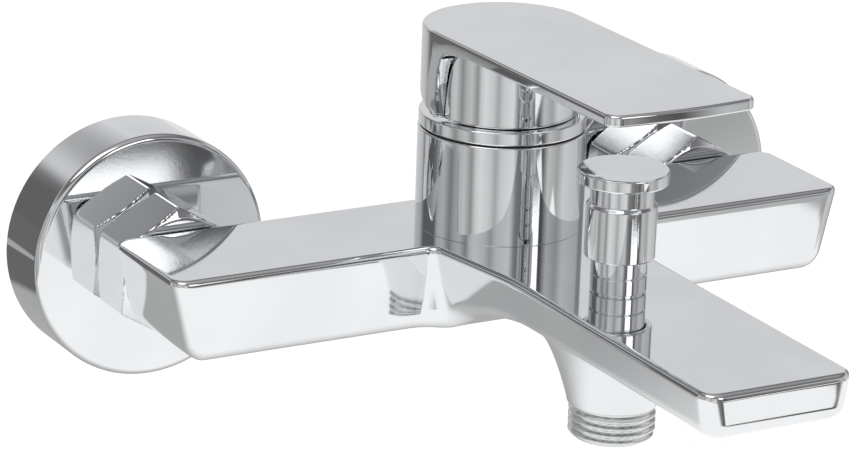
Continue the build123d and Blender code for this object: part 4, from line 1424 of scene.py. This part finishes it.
# --- outlets ---------------------------------------------------------------------------------
@dataclass
class Outlets:
    """Threaded shower outlet and aerator ring. Millimetres."""

    datum: Datum
    thread_r: float = 10.478
    pitch: float = 1.814
    thread_depth: float = 1.1
    bore_r: float = 7.6
    visible: float = 8.5

    def nipple(self) -> bpy.types.Object:
        """Shower outlet with a real helical thread.

        Returns:
            The nipple.
        """
        low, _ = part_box("shower_nipple")
        bottom = low[2] / MM
        top = bottom + self.visible
        turn = np.arange(128) * 2 * math.pi / 128
        level = np.linspace(bottom + 0.5, top, 118)[:, None]
        outer = thread_radius(turn[None], level, self.thread_r, self.thread_depth, self.pitch,
                              bottom + 0.3, top - 0.5)
        lead = np.array([[self.bore_r + 0.3], [9.1]]) + 0 * turn
        lead_z = np.array([[bottom], [bottom]]) + 0 * turn
        inner = np.array([[9.0], [self.bore_r], [self.bore_r]]) + 0 * turn
        inner_z = np.array([[top + 0.3], [top + 0.3], [bottom + 0.3]]) + 0 * turn
        radius = np.concatenate([lead, outer, inner])
        levels = np.concatenate([lead_z, level + 0 * turn, inner_z])
        centre = Vector((0.0, -self.datum.diverter_out, 0.0))
        grid = field_turned(radius, levels, turn, centre)
        return make_piece("shower_outlet", [grid], Looks.CHROME_THREAD, 45.0)

    def aerator(self) -> bpy.types.Object:
        """Ring round the aerator, with key notches in its face.

        Formula: a closed ring profile whose lower face steps up in four short notches.

        Returns:
            The ring.
        """
        low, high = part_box("aerator_housing")
        centre = Vector((0.0, (low[1] + high[1]) / 2, 0.0))
        outer = (high[0] - low[0]) / 2 / MM
        bottom, top = low[2] / MM, high[2] / MM
        turn = np.arange(144) * 2 * math.pi / 144
        notch = 0.7 * (np.cos(4 * turn) > 0.94)
        inner = outer - 1.3
        corners = rounded([(outer, top, 0), (outer, bottom, 0.3), (inner, bottom, 0.3), (inner, top, 0)])
        share = np.clip((top - corners[:, 1]) / (top - bottom), 0, 1)[:, None]
        radius = corners[:, 0, None] + 0 * turn
        level = corners[:, 1, None] + share * notch
        return make_piece("aerator_ring", [field_turned(radius, level, turn, centre)], Looks.CHROME, 35.0)

    def build(self) -> list[bpy.types.Object]:
        """Build the outlet's pieces.

        Returns:
            The pieces.
        """
        nipple, ring = self.nipple(), self.aerator()
        finish_piece(nipple, "root", "chrome", "shower_nipple")
        finish_piece(ring, "root", "chrome", "aerator_housing")
        return [nipple, ring]


# --- studio ----------------------------------------------------------------------------------
@dataclass
class Studio:
    """Pale floor, soft light and the camera."""

    eye: tuple[float, float, float] = (-0.520037, -0.940955, 0.356482)
    right: tuple[float, float, float] = (0.87492291, -0.48318432, 0.03229255)
    up: tuple[float, float, float] = (0.12499044, 0.28974377, 0.94890776)
    forward: tuple[float, float, float] = (0.46785392, 0.82618488, -0.31389688)
    lens: float = 184.43
    bands: tuple = (
        (-180, 0.18), (-171, 0.26), (-164, 0.74), (-147, 0.62), (-139, 0.40), (-131, 0.60),
        (-118, 0.72), (-111, 0.60), (-105, 0.28), (-95, 0.54), (-86, 0.44), (-79, 0.26),
        (-67, 0.58), (-57, 0.50), (-51, 0.14), (-25, 0.14), (-14, 0.50), (8, 0.60),
        (16, 0.74), (42, 0.74), (48, 0.30), (66, 0.26), (76, 0.52), (112, 0.64),
        (125, 0.38), (141, 0.54), (151, 0.08), (158, 0.14), (164, 0.34), (170, 0.10),
        (176, 0.20), (180, 0.18),
    )
    heights: tuple = (
        (0.0, 0.7), (0.28, 0.72), (0.40, 0.82), (0.47, 0.60),
        (0.55, 0.22), (0.70, 0.16), (0.85, 0.36), (1.0, 0.5),
    )
    cards: tuple = (
        (0.10, 0.24, -0.21, -0.13), (0.085, 0.155, -0.325, -0.275), (0.15, 0.24, -0.42, -0.36),
        (-0.27, -0.17, 0.37, 0.46),
    )
    card_edge: float = 0.01
    floor_gap: float = 0.05
    floor_centre: float = 0.1
    near_squared: tuple[float, float] = (0.066, 0.078)
    near_level: float = 0.97
    near_fall: float = 0.57
    near_span: tuple[float, float] = (-0.02, 0.12)
    horizon: tuple[float, float] = (0.34, 0.46)
    lights: list[tuple[str, tuple, tuple, float, float]] = field(default_factory=lambda: [
        ("front_box", (0.6, -2.4, 1.3), (0.0, -0.1, 0.0), 1.0, 5.0),
        ("top_box", (-0.9, -0.6, 2.2), (0.0, -0.1, 0.0), 1.4, 12.0),
    ])

    def camera(self) -> None:
        """Place the camera."""
        data = bpy.data.cameras.new("camera")
        data.lens = self.lens
        data.sensor_width = 36.0
        data.clip_start, data.clip_end = 0.01, 50.0
        view = bpy.data.objects.new("camera", data)
        turn = Matrix((self.right, self.up, tuple(-v for v in self.forward))).transposed()
        view.matrix_world = Matrix.Translation(self.eye) @ turn.to_4x4()
        bpy.context.scene.collection.objects.link(view)
        bpy.context.scene.camera = view

    def surround(self, shop: Workbench, x: Val, y: Val) -> Val:
        """Grey level of the studio by bearing, as walls, flags and windows would give it.

        Formula: the bearing is the arc tangent of x over y, 0 behind the mixer, read on a ramp.

        Args:
            shop: the workbench.
            x: side coordinate of the direction.
            y: coordinate towards the wall.

        Returns:
            The grey level.
        """
        bearing = x.bearing(y) * (0.5 / math.pi) + 0.5
        stops = [((degrees + 180.0) / 360.0, level) for degrees, level in self.bands]
        ramp = shop.add("ShaderNodeValToRGB", {"stops": stops}, {"Fac": bearing})
        return Val(shop, ramp.node.outputs[0])

    def card(self, x: Val, y: Val, edges: tuple[float, float, float, float]) -> Val:
        """One card that lies on the floor.

        Formula: the product of four smooth steps, one for each edge.

        Args:
            x: side coordinate.
            y: coordinate towards the wall.
            edges: the card's two x and two y limits.

        Returns:
            1 on the card, 0 elsewhere.
        """
        left, right, near, behind = edges
        soft = self.card_edge
        wide = x.between(left - soft, left) * (1 - x.between(right, right + soft))
        return wide * y.between(near - soft, near) * (1 - y.between(behind, behind + soft))

    def floor(self) -> None:
        """A large pale floor under the mixer, plain to the eye and banded in reflections.

        Formula: close to the mixer, by squared distance, and on the cards the level falls with the
        distance ahead; elsewhere it is the surround's.
        """
        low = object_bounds()[0][2] - self.floor_gap
        corners = np.array([[-1, -1], [1, -1], [1, 1], [-1, 1]]) * 12.0
        mesh = bpy.data.meshes.new("floor")
        mesh.from_pydata(np.column_stack([corners, np.full(4, low)]), [], [[0, 1, 2, 3]])
        made = bpy.data.materials.new("floor")
        made.use_nodes = True
        shop = Workbench(made.node_tree)
        place = shop.place()
        tint = shop.noise(place, 6.0) * 0.01 + 0.93
        colour = shop.add("ShaderNodeCombineColor", {}, {0: tint, 1: tint, 2: tint})
        seen = shop.add("ShaderNodeBsdfPrincipled", {}, {
            "Base Color": colour.node.outputs[0], "Roughness": 0.9,
            "Emission Color": (1.0, 1.0, 1.0, 1.0), "Emission Strength": 0.62})
        split = shop.add("ShaderNodeSeparateXYZ", {}, {0: place})
        side, ahead = split.value(0), split.value(1) + self.floor_centre
        far = (side * side + ahead * ahead).between(*self.near_squared)
        for card in self.cards:
            far = far * (1 - self.card(side, ahead, card))
        close = self.near_level - ahead.between(*self.near_span) * self.near_fall
        level = self.surround(shop, side, ahead) * far + close * (1 - far)
        mirrored = shop.add("ShaderNodeEmission", {}, {"Color": level, "Strength": 1.12})
        eye = shop.add("ShaderNodeLightPath", {}, {}).node.outputs["Is Camera Ray"]
        mixed = {0: eye, 1: mirrored.node.outputs[0], 2: seen.node.outputs[0]}
        surface = shop.add("ShaderNodeMixShader", {}, mixed)
        shop.add("ShaderNodeOutputMaterial", {}, {"Surface": surface.node.outputs[0]})
        mesh.materials.append(made)
        ground = bpy.data.objects.new("floor", mesh)
        bpy.context.scene.collection.objects.link(ground)
        ground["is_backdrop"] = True

    def sky(self) -> None:
        """Soft grey surroundings.

        Formula: near the horizon the level is the surround's; higher up it follows a ramp on the
        direction's height.
        """
        world = bpy.data.worlds.new("studio")
        bpy.context.scene.world = world
        world.use_nodes = True
        shop = Workbench(world.node_tree)
        way = shop.add("ShaderNodeTexCoord", {}, {}).node.outputs["Generated"]
        split = shop.add("ShaderNodeSeparateXYZ", {}, {0: way})
        x, y, z = split.value(0), split.value(1), split.value(2)
        round_about = self.surround(shop, x, y)
        above = Val(shop, shop.add("ShaderNodeValToRGB", {"stops": self.heights}, {"Fac": z}).node.outputs[0])
        height = z.between(*self.horizon)
        level = round_about * (1 - height) + above * height
        colour = shop.add("ShaderNodeCombineColor", {}, {0: level, 1: level, 2: level * 1.01})
        back = shop.add("ShaderNodeBackground", {}, {"Color": colour.node.outputs[0], "Strength": 1.0})
        shop.add("ShaderNodeOutputWorld", {}, {"Surface": back.node.outputs[0]})

    def lamps(self) -> None:
        """Large soft boxes."""
        for name, spot, aim, size, power in self.lights:
            data = bpy.data.lights.new(name, "AREA")
            data.shape = "SQUARE"
            data.size = size
            data.energy = power
            lamp = bpy.data.objects.new(name, data)
            lamp.location = spot
            lamp.rotation_mode = "QUATERNION"
            lamp.rotation_quaternion = (Vector(aim) - Vector(spot)).to_track_quat("-Z", "Y")
            bpy.context.scene.collection.objects.link(lamp)

    def build(self) -> None:
        """Set the whole studio up."""
        bpy.context.scene.view_settings.view_transform = "Standard"
        self.camera()
        self.floor()
        self.sky()
        self.lamps()


def dress_nodes(given: dict) -> None:
    """Give every node that is kept its finish by its material slot.

    Args:
        given: the loaded frame.
    """
    slots = {part["node"]: part["material_slot"] for part in given["record"]["subparts"]}
    for name, node in given["nodes"].items():
        look = SLOT_LOOKS[slots[name]].value.material()
        node.data.materials.clear()
        node.data.materials.append(look)


def main() -> None:
    """Build every sub-assembly, then the studio."""
    logging.basicConfig(level=logging.INFO, format="%(message)s")
    dress_nodes(frame)
    datum = Datum.read()
    makers = [Body(datum), Inlet("left", datum), Inlet("right", datum), Tower(datum), Lever(datum),
              Diverter(datum), Outlets(datum)]
    for maker in makers:
        pieces = maker.build()
        log.info("%s: %s", type(maker).__name__, ", ".join(piece.name for piece in pieces))
    Studio().build()


if __name__ == "__main__":
    main()
